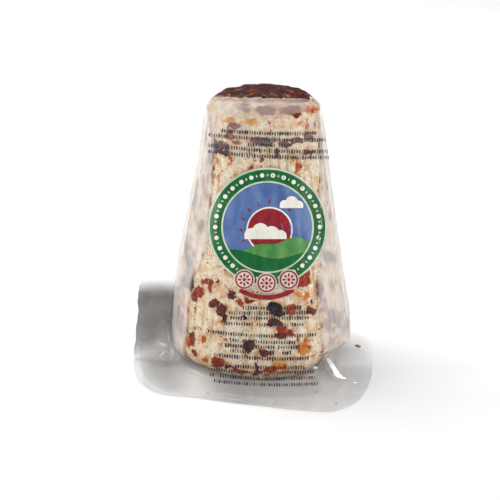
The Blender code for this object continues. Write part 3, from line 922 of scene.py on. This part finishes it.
def cheese(material):
    """The cheese itself, a little inside its film, with what its material reads: spots, crust,
    how far film veils it, and the brown line where the film leaves it."""
    thing = turned_shell("cheese", CHEESE_COLUMNS, CHEESE_ROWS)
    points = domed(points_of(thing))
    normals = normals_of(thing)
    right, back, up = (points / MM).T
    stand = cling(points)
    upper = ease((up - CRUST_FROM) / 8)
    radius = np.hypot(right - CRUST_AT[0], np.clip(back - CRUST_AT[1], 0, None))
    middle = 1 - ease((radius - CRUST_FADE[0]) / (CRUST_FADE[1] - CRUST_FADE[0]))
    across, down = picture_places(points)
    behind = ease((fold_line(across) + 3 + 1.5 * noise_at(points, 4 * MM, 6) - down) / 3)
    crust = upper * middle * behind + 0.25 * upper * noise_at(points, 5 * MM)
    under = (1 - behind) * ease((fold_front(across) + 2 - down) / 4) * (back < 0)
    edge, tone = spot_layers(points, normals)
    edge = edge + 0.9 * stand * (edge > -3)
    lower = ease((120 - up) / 30) * ease(up / 14)
    move_points(thing, points - normals * curd_depth(points, stand, upper)[:, None] * MM)
    write_values(
        thing, crust=crust,
        spot_edge=np.where(upper > 0.95, edge - 4 * crust, edge),
        spot_tone=np.clip(tone + 0.12 * stand * (tone > 0.5), 0, 1),
        veiled=np.clip(np.maximum(0.8 * stand, under), 0, 1),
        pinch=np.clip(1.1 - np.abs(stand - 0.4) * 4, 0, 1) * lower,
    )
    return shaped(thing, rib_tree(), {"Depth": RIB_GROOVE, "Groove": 0.2, "Material": material})


def strewn(name, base, values, material):
    """Flakes strewn over another piece."""
    return shaped(placed(name, base.data.copy()), scatter_tree(), {**values, "Material": material})


def cling_film(material):
    """The film where it clings to the cheese or stands off a little, a closed skin."""
    thing = turned_shell("clinging_film", FILM_COLUMNS, FILM_ROWS)
    points = domed(points_of(thing))
    normals = normals_of(thing)
    stand = cling(points)
    height = points[:, 2] / MM
    turn = np.arctan2(points[:, 1], points[:, 0])
    round_and_up = np.stack([np.cos(turn) * 9, np.sin(turn) * 9, height / 40], -1)
    creases = 1 - np.abs(noise_at(round_and_up, 1.0)) * 5
    creases = np.clip(creases, 0, 1) * stand * ease(height / 20) * ease((188 - height) / 12)
    borders = np.clip(1 - np.abs(stand - 0.5) * 2.4, 0, 1) * ease(height / 12) * ease((185 - height) / 12)
    seam = hump(np.sin(turn) * 60, 0, 1.6) * ease((height - 12) / 20) * ease((184 - height) / 10)
    lift = 0.45 * creases + 0.45 * borders + 0.9 * seam
    lift = lift - 0.12 * noise_at(points, 4 * MM) * ease(height / 10)
    lift = lift + 0.5 * np.abs(noise_at(points, 3 * MM, 8)) * ease((height - 184) / 4)
    move_points(thing, points + normals * (lift * MM)[:, None])
    upper = ease((height - 150) / 30) * (1 - ease((height - 183) / 5))
    milk = 0.01 + 0.4 * stand + 0.14 * upper * (1 - stand) + 0.04 * creases + 0.05 * borders
    milk = np.where(height > 186, 0.0, np.clip(milk, 0, 0.8))
    corner = ease((points[:, 0] / MM - 18) / 8) * ease((height - 174) / 6)
    write_values(thing, milk=milk, dull=corner)
    return shaped(thing, rib_tree(), {"Depth": FILM_GROOVE, "Groove": 0.3, "Material": material})


def surface_of(*things):
    """One tree of faces of several pieces, to find places on them."""
    points = []
    faces = []
    for thing in things:
        start = len(points)
        points += [v.co.copy() for v in thing.data.vertices]
        faces += [tuple(k + start for k in p.vertices) for p in thing.data.polygons]
    return BVHTree.FromPolygons(points, faces)


def laid(thing, surface, lift):
    """Lay a flat design on a surface, as the camera sees it, and lift it off a little."""
    points = points_of(thing)
    last = Vector(points[0])
    for number, point in enumerate(points):
        x = point[0] / PIXEL_AT_AIM
        y = -point[1] / PIXEL_AT_AIM
        hit, normal, _, _ = surface.ray_cast(CAMERA_AT, seen_at(x, y))
        if hit is not None:
            last = hit + normal * lift
        points[number] = last
    move_points(thing, points)
    thing.data.shade_smooth()
    return thing


def grid_piece(name, rows, material):
    """Sheet through rows of points, all of one length."""
    columns = len(rows[0])
    points = [p for row in rows for p in row]
    faces = []
    for row in range(len(rows) - 1):
        for column in range(columns - 1):
            corner = row * columns + column
            faces.append((corner, corner + 1, corner + columns + 1, corner + columns))
    thing = mesh_object(name, points, faces)
    thing.data.materials.append(material)
    return thing


def flat_point(x, y):
    """Point of a flat design, from a picture pixel."""
    return (x * PIXEL_AT_AIM, -y * PIXEL_AT_AIM, 0)


def merged(thing):
    """Merge points that coincide."""
    shape = bmesh.new()
    shape.from_mesh(thing.data)
    bmesh.ops.remove_doubles(shape, verts=shape.verts, dist=0.001 * MM)
    shape.to_mesh(thing.data)
    shape.free()
    return thing


def round_band(name, centre, inner, outer, material, start=0, end=360, spokes=120):
    """Flat ring, disc or arc in the picture, radii in pixels."""
    rings = max(1, round((outer - inner) / 2.2))
    rows = []
    for ring in range(rings + 1):
        radius = inner + (outer - inner) * ring / rings
        row = []
        for spoke in range(spokes + 1):
            turn = math.radians(start + (end - start) * spoke / spokes)
            x = centre[0] + radius * math.cos(turn)
            y = centre[1] - radius * math.sin(turn)
            row.append(flat_point(x, y))
        rows.append(row)
    return merged(grid_piece(name, rows, material))


def field_between(name, left, right, low, high, material):
    """Flat field in the picture between two curves over x."""
    lines = []
    for row in range(FIELD_ROWS + 1):
        line = []
        for column in range(FIELD_COLUMNS + 1):
            x = left + (right - left) * column / FIELD_COLUMNS
            line.append(flat_point(x, low(x) + (high(x) - low(x)) * (row / FIELD_ROWS)))
        lines.append(line)
    return merged(grid_piece(name, lines, material))


def dots(name, centre, values, material):
    """Ring of dots in the flat design."""
    thing = mesh_object(name, [(0, 0, 0)], [])
    thing = shaped(thing, ring_tree(), {**values, "Material": material})
    points = points_of(thing)
    points[:, 0] += centre[0] * PIXEL_AT_AIM
    points[:, 1] -= centre[1] * PIXEL_AT_AIM
    move_points(thing, points)
    return thing


def film_grid(along, across):
    """Points of the loose film, as in the part, for arrays of shares along and across it."""
    rows = np.array([(number,) + row for number, row in enumerate(LOOSE_END)], float)
    at = along * (len(rows) - 1)
    columns = (smooth_through(rows, at, column) for column in range(1, 7))
    facing, height, fall, right, forward, up = columns
    turn = np.radians(facing)
    inset = smooth_through(FOOT_EDGE, facing % 360, 1) * MM
    rise = smooth_through(FOOT_EDGE, facing % 360, 2) * MM
    low = np.clip(1 - height * MM / rise, 0, None)
    radius = girth(height * MM) - inset * (1 - np.sqrt(1 - low * low)) - FILM_ROOT
    root = np.stack([np.cos(turn) * radius, np.sin(turn) * radius, height * MM], -1)
    edge = np.stack([right, -forward, up], -1) * MM
    near = root + (edge - root) / 3
    near[:, 2] -= near[:, 2] * FILM_FALL * fall
    far = root + (edge - root) * 2 / 3
    far[:, 2] += (edge[:, 2] - far[:, 2]) * fall
    s = across[:, None]
    back = 1 - s
    place = root * back ** 3 + near * 3 * back * back * s + far * 3 * back * s * s + edge * s ** 3
    away = np.hypot(place[:, 0] - PUCKER_AT[0], place[:, 1] - PUCKER_AT[1]) / PUCKER_RADIUS
    place[:, 2] += PUCKER_RISE * np.exp(-away * away)
    ripple = FILM_RIPPLE * noise_at(place, FILM_RIPPLE_WIDTH) * np.sin(math.pi / 2 * across)
    upright = 1 - ease(fall * 2)
    place[:, 0] += 1.3 * MM * noise_at(place[:, [2, 2, 2]], 9 * MM, 5) * upright * across ** 2
    place[:, 1] += ripple * upright
    place[:, 2] += np.abs(ripple) * (1 - upright)
    return place, upright


def gathers(place):
    """Small curved folds that run out from one place in the loose film, 0 to 1."""
    right = (place[:, 0] - GATHER_AT[0]) / MM
    back = (place[:, 1] - GATHER_AT[1]) / MM
    away = np.hypot(right, back / 1.8) / 9
    turn = np.arctan2(back / 1.8, right) * GATHER_FOLDS + 2.2 * away + 1.5 * noise_at(place, 8 * MM, 21)
    return (0.5 + 0.5 * np.cos(turn)) ** 5 * np.exp(-(away / 1.1) ** 4) * np.clip(away * 2.5, 0, 1)


def crease_share(place):
    """Of places on the apron: share along the sharp crease, and mm to the right of its middle."""
    run = (CREASE_TO[0] - CREASE_FROM[0], CREASE_TO[1] - CREASE_FROM[1])
    length = math.hypot(*run)
    right = place[:, 0] / MM - CREASE_FROM[0]
    back = place[:, 1] / MM - CREASE_FROM[1]
    return (right * run[0] + back * run[1]) / length ** 2, (back * run[0] - right * run[1]) / length


def crease_width(share):
    """Width in mm of the flank of the sharp crease, with a barb near its end."""
    width = CREASE_WIDTH[0] + (CREASE_WIDTH[1] - CREASE_WIDTH[0]) * np.clip(share, 0, 1) ** 1.5
    return width + 2.4 * hump(share, 0.78, 0.07)


def creased(place, height, weld, upright):
    """Heights of the upper film with a sharp crease: a flat flank falls to the right of it."""
    share, side = crease_share(place)
    width = crease_width(share)
    crest = CREASE_CREST[0] + (CREASE_CREST[1] - CREASE_CREST[0]) * share
    fall = CREASE_SLOPE * np.clip(side, 0, width) + np.clip(side - width, 0, None)
    slope = (crest - fall + 0.25 * np.clip(side, None, 0)) * MM
    flat = np.minimum(height, 2.2 * MM) * (1 - weld) + height * weld
    made = np.where(side > 0, np.maximum(slope, flat), np.maximum(slope, height))
    mask = ease((share + 0.14) / 0.14) * ease((1.14 - share) / 0.14) * (1 - upright)
    return height + (made - height) * mask


def crease_painted_highlight(place):
    """How far the film is painted white as a highlight along the sharp crease and on the bubble, 0 to 1.
    """
    share, side = crease_share(place)
    width = crease_width(share)
    inside = np.clip((width / 2 - np.abs(side - width / 2)) / 0.7 + 0.5, 0, 1)
    inside = inside * ease((share + 0.02) / 0.05) * (1 - ease((share - 0.4) / 0.4))
    pinch = np.sum((place[:, :2] - BUBBLE_AT) ** 2, -1) / BUBBLE_REACH ** 2
    return np.maximum(inside, np.exp(-(pinch * 2.2) ** 2))


def film_layers(along, across, place, upright, weld, soft, puckers):
    """Upper and lower film of the loose end: air and creases between them, none in the weld."""
    air = np.sin(math.pi * np.clip(across / WELD_FROM, 0, 1)) ** 0.8 * (1 - upright)
    ends = ease(along / 0.04) * ease((1 - along) / 0.04)
    fold = np.stack([along * 26, across * 1.4, along * 0], -1)
    creases = np.clip(1 - 3.2 * np.abs(noise_at(fold, 1.0)), 0, 1) * np.sin(math.pi * across ** 0.7) * 0.5
    lift = AIR_HEIGHT * air * ends * (0.8 + 0.35 * soft) + 1.2 * MM * creases * (1 - weld) * (1 - upright)
    lift = lift * (1 - 0.85 * ease((place[:, 1] / MM + 48) / 22) * ease((place[:, 0] / MM - 30) / 15))
    bubble = np.sum((place[:, :2] - BUBBLE_AT) ** 2, -1) / BUBBLE_REACH ** 2
    lift = lift + GATHER_RISE * puckers + BUBBLE_RISE * np.exp(-bubble)
    wavy = 0.9 * MM * noise_at(np.stack([along * 55, across * 0.6, along * 0], -1), 1.0) * weld
    upper = place.copy()
    upper[:, 2] = np.maximum(upper[:, 2] + (lift + np.abs(wavy)) * (1 - upright), 1.3 * MM)
    upper[:, 2] = creased(place, upper[:, 2], weld, upright)
    upper[:, 1] -= (0.9 * MM + 1.1 * MM * creases + 0.7 * MM * soft * air) * upright
    lower = place.copy()
    flat = (1 - upright) * ease(across / 0.12)
    lower[:, 2] = np.maximum(0.35 * MM * flat + (place[:, 2] - 1.2 * MM) * (1 - flat), 0.35 * MM)
    lower[:, 1] += 0.9 * MM * upright
    return upper, lower


def closed_sheet(name, upper, lower, lengths, widths):
    """Closed skin of two grids of points, one over the other, with walls along all four edges."""
    total = len(upper)
    columns = widths + 1
    faces = []
    for row in range(lengths):
        for column in range(widths):
            corner = row * columns + column
            below = (corner, corner + 1, corner + columns + 1, corner + columns)
            faces.append((corner, corner + columns, corner + columns + 1, corner + 1))
            faces.append(tuple(total + k for k in below))
        near = row * columns
        far = near + widths
        faces.append((near, total + near, total + near + columns, near + columns))
        faces.append((far, far + columns, total + far + columns, total + far))
    last = lengths * columns
    for column in range(widths):
        end = last + column
        faces.append((column, column + 1, total + column + 1, total + column))
        faces.append((end, total + end, total + end + 1, end + 1))
    thing = mesh_object(name, np.concatenate([upper, lower]), faces)
    shape = bmesh.new()
    shape.from_mesh(thing.data)
    bmesh.ops.recalc_face_normals(shape, faces=shape.faces)
    shape.to_mesh(thing.data)
    shape.free()
    thing.data.set_sharp_from_angle(angle=SHARP_FROM)
    return thing


def film_looks(across, place, upright, weld, soft, puckers):
    """Of the loose film: how far it hides things, its painted shade and painted highlights, and how dull.
    """
    right, back, up = (place / MM).T
    white = crease_painted_highlight(place)
    front = hump(right, -18, 26) * ease((-back - 40) / 20)
    left = ease((-right - 45) / 25)
    gathered = np.hypot(right - GATHER_AT[0] / MM, (back - GATHER_AT[1] / MM) / 1.6)
    # Painted shade in the middle of the gathers.
    painted_dent_shade = hump(gathered, 0, 10)
    # A painted highlight: a bright line along the weld, towards the front left.
    rim = hump(across, PAINTED_HIGHLIGHT_LINE, 0.012) * ease((5 - right) / 20) * ease((-back - 58) / 10)
    # The film hides more under grey where shade is painted: at the middle of the front, at the left and
    # in the middle of the gathers; the next line makes it lighter again towards the outer left edge.
    haze = LYING_HAZE + 0.11 * front + 0.2 * left * (1 - 0.5 * weld) + 0.04 * soft + 0.2 * painted_dent_shade
    haze = haze * (1 - 0.55 * left * ease((across - 0.6) / 0.35))
    # Painted highlights hide the film under light grey: the crease and bubble, the gather ridges and the
    # weld line.
    haze = haze - 0.02 * weld + 0.9 * white + 0.24 * puckers + 0.4 * rim
    tall = ease((up - CLEAR_ABOVE) / 16)
    # Where it stands up the film hides much under dark grey, a painted shade that clears towards the top.
    haze = haze * (1 - upright) + UPRIGHT_HAZE_AND_PAINTED_SHADE * upright * (1 - 0.97 * tall) * (1 - 0.06 * weld)
    # Painted shade: dark where the film stands up; where it lies, darker at the left and lighter at the
    # right.
    shade = 0.3 + 0.42 * ease((right - 20) / 60) + 0.1 * soft + 0.12 * weld
    shade = shade * (1 - upright) + (0.2 + 0.1 * soft) * upright
    # Painted shade in the middle of the gathers; painted highlights on their ridges, on the crease and
    # bubble, and on the weld line.
    shade = shade - 0.12 * painted_dent_shade + 0.9 * puckers + 1.5 * white + 0.6 * rim
    shade = np.where(white > 0.3, shade, np.clip(shade, 0, 0.9))
    near = (1 - ease((across - 0.1) / 0.4)) * ease((30 - right) / 10)
    behind = ease((right - 54) / 5) * ease((back + 46) / 28)
    lying_left = ease((-right - 20) / 30) * (1 - upright)
    dull = np.maximum(np.maximum(0.6 * near, behind), 0.7 * lying_left)
    return haze, shade, dull


def loose_film(material):
    """The bag's loose end: two films with some air between them, welded at the free edge."""
    along = np.repeat(np.arange(LOOSE_LENGTHS + 1) / LOOSE_LENGTHS, LOOSE_WIDTHS + 1)
    across = np.tile(np.arange(LOOSE_WIDTHS + 1) / LOOSE_WIDTHS, LOOSE_LENGTHS + 1)
    place, upright = film_grid(along, across)
    weld = ease((across - WELD_FROM) / 0.05)
    soft = noise_at(place, 15 * MM, 3)
    puckers = gathers(place) * (1 - upright)
    upper, lower = film_layers(along, across, place, upright, weld, soft, puckers)
    thing = closed_sheet("loose_film", upper, lower, LOOSE_LENGTHS, LOOSE_WIDTHS)
    haze, shade, dull = film_looks(across, place, upright, weld, soft, puckers)
    write_values(
        thing, haze=np.clip(np.concatenate([haze, haze * 0.7]), 0, 1),
        shade=np.clip(np.tile(shade, 2), 0, 1), dull=np.tile(dull, 2),
    )
    thing.data.materials.append(material)
    return thing


def fold_line(x):
    """Height in the picture of the back edge of the folded seal."""
    left, y_left, right, y_right = FOLD_BACK
    return y_left + (y_right - y_left) * (x - left) / (right - left)


def fold_front(x):
    """Height in the picture of the front edge of the folded seal."""
    curve = np.where(x > FOLD_LOWEST, FOLD_CURVE[1], FOLD_CURVE[0])
    return FOLD_FRONT[1] - ((x - FOLD_LOWEST) / curve) ** 2


def on_surface(surface, x, y):
    """Place and normal on a surface behind a picture pixel, or the nearest place to it."""
    aim = seen_at(x, y)
    hit, normal, _, _ = surface.ray_cast(CAMERA_AT, aim)
    if hit is None:
        hit, normal, _, _ = surface.find_nearest(CAMERA_AT + aim * CAMERA_AWAY)
    return hit, normal


def top_fold(surface, material):
    """The bag's welded top end, folded forward over the front of the top."""
    rows = []
    milk = []
    dull = []
    for step in range(FOLD_STEPS + 1):
        share = step / FOLD_STEPS
        left = FOLD_BACK[0] + (FOLD_FRONT[0] - FOLD_BACK[0]) * math.sqrt(share)
        right = FOLD_BACK[2] + (FOLD_FRONT[2] - FOLD_BACK[2]) * math.sqrt(share)
        row = []
        for column in range(FOLD_COLUMNS + 1):
            x = left + (right - left) * column / FOLD_COLUMNS
            jag = noise.noise(Vector((x * 0.21, 0, 0))) + 0.6 * noise.noise(Vector((x * 0.6, 5, 0)))
            back = fold_line(x) + 1.7 * jag
            front = float(fold_front(x)) + 1.6 * noise.noise(Vector((x * 0.09, 9, 0)))
            hit, normal = on_surface(surface, x, back + (front - back) * share)
            hem = math.exp(-(share / 0.04) ** 2)
            rise = 0.4 + (0.3 + 0.5 * jag) * hem
            crease = abs(noise.noise(Vector((x * 0.035, share * 4, 2))))
            rise += 0.5 * max(0.0, 1 - 5 * crease) * (1 - share)
            row.append(hit + normal * rise * MM)
            end = float(ease((x - 298) / 12))
            white = 0.26 + 0.16 * hem - 0.12 * share
            milk.append(white * (1 - 0.6 * end * (1 - share)))
            dull.append(0.3 + 0.7 * end)
        rows.append(row)
    thing = grid_piece("folded_top_seal", rows, material)
    write_values(thing, milk=milk, dull=dull)
    wall = thing.modifiers.new("wall", "SOLIDIFY")
    wall.thickness = 0.25 * MM
    wall.offset = -1
    return thing


def print_rows(surface, material):
    """Rows of small bars where a pack has its small print."""
    points = []
    edges = []
    for left, y_left, y_middle, right, y_right in MARK_ROWS:
        for step in range(MARK_STEPS + 1):
            share = step / MARK_STEPS
            y = y_left * (1 - share) ** 2 + y_right * share ** 2
            y += (4 * y_middle - y_left - y_right) * share * (1 - share)
            points.append(flat_point(left + (right - left) * share, y))
            if step:
                edges.append((len(points) - 2, len(points) - 1))
    lines = mesh_object("small_print_bars", points, [], edges)
    return laid(shaped(lines, row_tree(), {"Material": material}), surface, MARK_LIFT)


def cloud_top(bumps):
    """Upper outline of a cloud made of round bumps: x, y, radius in pixels."""
    def height(x):
        tops = [y - math.sqrt(max(0.0, r * r - (x - at) ** 2)) for at, y, r in bumps if abs(x - at) <= r]
        return min(tops, default=bumps[0][1])
    return height


def medallion(surface, inks):
    """Round print on the front: a green band with white dots round a red sun over hills."""
    x, y = MEDALLION_AT
    pieces = [
        (round_band("band_rim", (x, y), MEDALLION_RADIUS - 1.9, MEDALLION_RADIUS, inks["pale"]), 1),
        (round_band("band", (x, y), FIELD_RADIUS, MEDALLION_RADIUS - 1.8, inks["green"]), 1),
        (round_band("band_line", (x, y), FIELD_RADIUS - 1.6, FIELD_RADIUS + 0.1, inks["pale"]), 2),
        (round_band("sky", (x, y), 0, FIELD_RADIUS - 1.4, inks["blue"]), 1),
    ]

    def bottom(at):
        return y + math.sqrt(max(0.0, (FIELD_RADIUS - 1.5) ** 2 - (at - x) ** 2))

    def far_hill(at):
        return min(bottom(at), y + 17 - 5 * math.sin((at - x) / 17) + 2 * math.sin((at - x) / 6))

    def near_hill(at):
        return min(bottom(at), y + 27 + 4.5 * math.sin((at - x) / 14 + 1))

    half = FIELD_RADIUS - 1.5
    sun = (x + 2, y + 3)
    pieces.append((round_band("sun_rim", sun, SUN_RADIUS - 0.2, SUN_RADIUS + 1.5, inks["white"]), 2))
    pieces.append((round_band("sun", sun, 0, SUN_RADIUS, inks["red"]), 2))
    rays = {"Count": 16, "Ring": 28.5 * PIXEL_AT_AIM, "Dot": 1.7 * PIXEL_AT_AIM, "Long": 2.0, "Sides": 3}
    pieces.append((dots("sun_rays", sun, rays, inks["red"]), 2))
    puffs = ((x - 16, y + 8, 7), (x - 7, y + 4, 8), (x + 4, y + 7, 8), (x + 13, y + 9, 6))
    pieces.append((field_between("cloud", x - 22.9, x + 18.9, lambda at: y + 12, cloud_top(puffs),
                                 inks["white"]), 4))
    puffs = ((x + 17, y - 22, 5), (x + 24, y - 25, 6), (x + 31, y - 22, 4.5))
    pieces.append((field_between("small_cloud", x + 12.1, x + 35.4, lambda at: y - 19, cloud_top(puffs),
                                 inks["white"]), 4))
    pieces.append((field_between("far_hill", x - half, x + half, bottom, far_hill, inks["meadow"]), 5))
    pieces.append((field_between("near_hill", x - half, x + half, bottom, near_hill, inks["green"]), 6))
    ring = {"Count": 30, "Ring": DOT_RING * PIXEL_AT_AIM, "Dot": 2.3 * PIXEL_AT_AIM, "Long": 1.0,
            "Sides": 10}
    pieces.append((dots("band_dots", (x, y), ring, inks["white"]), 3))
    small = {"Count": 30, "Ring": DOT_RING * PIXEL_AT_AIM, "Dot": 0.9 * PIXEL_AT_AIM, "Long": 1.6,
             "Sides": 6, "First": math.pi / 30}
    pieces.append((dots("band_beads", (x, y), small, inks["pale"]), 3))
    petals = {"Count": 8, "Ring": 4.6 * PIXEL_AT_AIM, "Dot": 1.1 * PIXEL_AT_AIM, "Long": 1.7, "Sides": 8}
    for number, at in enumerate(ROSETTES):
        pieces.append((round_band(f"rosette_back_{number}", at, 0, 10.2, inks["blush"], spokes=36), 7))
        pieces.append((round_band(f"rosette_rim_{number}", at, 7.6, 9.2, inks["red"], spokes=36), 8))
        pieces.append((dots(f"rosette_petals_{number}", at, petals, inks["red"]), 8))
        pieces.append((round_band(f"rosette_eye_{number}", at, 0, 1.7, inks["red"], spokes=16), 8))
    pieces.append((round_band("garland", (266.5, 247), 48.0, 52.6, inks["red"], start=238, end=302,
                              spokes=50), 7))
    for piece, layer in pieces:
        laid(piece, surface, INK_LIFT + layer * INK_LAYER)
    return [piece for piece, _ in pieces]


def crumbs(surface, material):
    """A few crumbs caught in the loose end of the bag."""
    shape = bmesh.new()
    draw = random.Random(5)
    for x, y, size in CRUMBS:
        hit, normal, _, _ = surface.ray_cast(CAMERA_AT, seen_at(x, y))
        made = bmesh.ops.create_icosphere(shape, subdivisions=2, radius=size * MM)
        flat = Matrix.Diagonal((1, draw.uniform(0.6, 0.9), 0.45, 1))
        stand = normal.to_track_quat("Z", "Y").to_matrix().to_4x4()
        turn = stand @ Matrix.Rotation(draw.uniform(0, 6), 4, "Z")
        for vertex in made["verts"]:
            vertex.co *= 1 + 0.35 * noise.noise(vertex.co / (size * 0.8 * MM) + Vector((x, y, 0)))
        bmesh.ops.transform(shape, matrix=Matrix.Translation(hit - normal * 0.1 * MM) @ turn @ flat,
                            verts=made["verts"])
    mesh = bpy.data.meshes.new("crumbs")
    shape.to_mesh(mesh)
    shape.free()
    mesh.shade_smooth()
    mesh.materials.append(material)
    return placed("crumbs", mesh)


def floor():
    """White table top under and round the part."""
    bpy.ops.mesh.primitive_plane_add(size=FLOOR_SIZE, location=(0, 0, -0.3 * MM))
    thing = bpy.context.object
    thing.name = "floor"
    material, tree, place = new_material("white_laminate")
    fine = add(tree, "ShaderNodeTexNoise", {"Vector": place, "Scale": per(40)})
    colour = add(tree, "ShaderNodeValToRGB", {0: fine}, stops=((0.3, "#EFEFEF"), (0.7, "#F1F1F1")))
    shader = add(tree, "ShaderNodeBsdfPrincipled", {"Base Color": colour, "Roughness": 0.8,
                                                    "Specular IOR Level": 0.1})
    add(tree, "ShaderNodeOutputMaterial", {0: shader})
    thing.data.materials.append(material)


def light(name, kind, energy, at, aim, size=0.0, size_y=0.0, angle=0.0):
    """Studio light that looks at a point: an area light with two sides, or a sun with an angle."""
    lamp = bpy.data.lights.new(name, kind)
    lamp.energy = energy
    if kind == "AREA":
        lamp.shape = "RECTANGLE"
        lamp.size = size
        lamp.size_y = size_y
    else:
        lamp.angle = angle
    thing = placed(name, lamp)
    thing.location = at
    thing.rotation_euler = (Vector(aim) - Vector(at)).to_track_quat("-Z", "Y").to_euler()


def studio():
    """White room, a wide sun in front, a soft box behind at the left, strips at both sides, and a
    small box behind at the right that glints in the film's crease."""
    world = bpy.data.worlds.new("studio")
    bpy.context.scene.world = world
    world.use_nodes = True
    tree = world.node_tree
    room = tree.nodes["Background"].inputs
    room["Color"].default_value = linear("#FFFFFF")
    aim = add(tree, "ShaderNodeTexCoord", out="Generated")
    up = add(tree, "ShaderNodeSeparateXYZ", {0: aim}, out=2)
    glow = add(tree, "ShaderNodeMapRange", {"Value": up, "From Min": 0.25, "From Max": 0.8,
                                            "To Min": 0.2, "To Max": 0.62})
    tree.links.new(glow, room["Strength"])
    light("sun", "SUN", 1.35, (0.3, -1.5, 1.1), (0, 0, 0), angle=0.9)
    light("sky_box", "AREA", 29, (-1.0, 0.8, 1.6), (0, 0, 0), 1.7, 1.7)
    light("left_strip", "AREA", 6, (-1.5, -0.3, 0.25), (0, 0, 0.1), 0.12, 0.6)
    light("right_strip", "AREA", 6, (1.5, -0.4, 0.25), (0, 0, 0.1), 0.2, 0.6)
    light("back_box", "AREA", 2, (0.45, 1.14, 0.32), (0.05, -0.05, 0), 0.16, 0.16)
    bpy.context.scene.view_settings.view_transform = "Standard"


def camera():
    """The photograph's view."""
    lens = bpy.data.cameras.new("camera")
    lens.sensor_width = SENSOR
    lens.lens = SENSOR / (PICTURE * TAN_PER_PIXEL)
    thing = placed("camera", lens)
    thing.location = CAMERA_AT
    thing.rotation_euler = CAMERA_BACK.to_track_quat("Z", "Y").to_euler()
    bpy.context.scene.camera = thing


camera()
studio()
floor()

chilli = flake_material()
curd = cheese(curd_material())
flakes = strewn("pepper_flakes", curd, {
    "Per Square Metre": 22000.0, "Size": 0.62 * MM, "Height": 0.3, "Seed": 4,
}, chilli)
skin = cling_film(cling_film_material())
apron = loose_film(loose_film_material())
bag = surface_of(skin, apron)
seal = top_fold(surface_of(skin), fold_material())
morsels = crumbs(surface_of(apron), crumb_material())

inks = {
    "green": ink_material("green_ink", "#0C5428", "#1C6836", 6),
    "meadow": ink_material("light_green_ink", "#3F7A3E", "#5F9450", 6),
    "blue": ink_material("blue_ink", "#455F94", "#6079A6", 7),
    "red": ink_material("red_ink", "#761C25", "#94262F", 5),
    "white": ink_material("white_ink", "#D8D3C8", "#EAE6DD", 5),
    "pale": ink_material("pale_ink", "#A9B9A2", "#C9CFBE", 5),
    "blush": ink_material("blush_ink", "#C6B4A9", "#D8CAC0", 5),
    "black": ink_material("black_ink", "#2A2933", "#3E3C46", 3),
}
bars = print_rows(bag, inks["black"])
motifs = medallion(bag, inks)

for piece in (curd, flakes, skin, apron, seal, morsels, bars, *motifs):
    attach(piece, "root")
for piece in (curd, skin, apron):
    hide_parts(NODE)
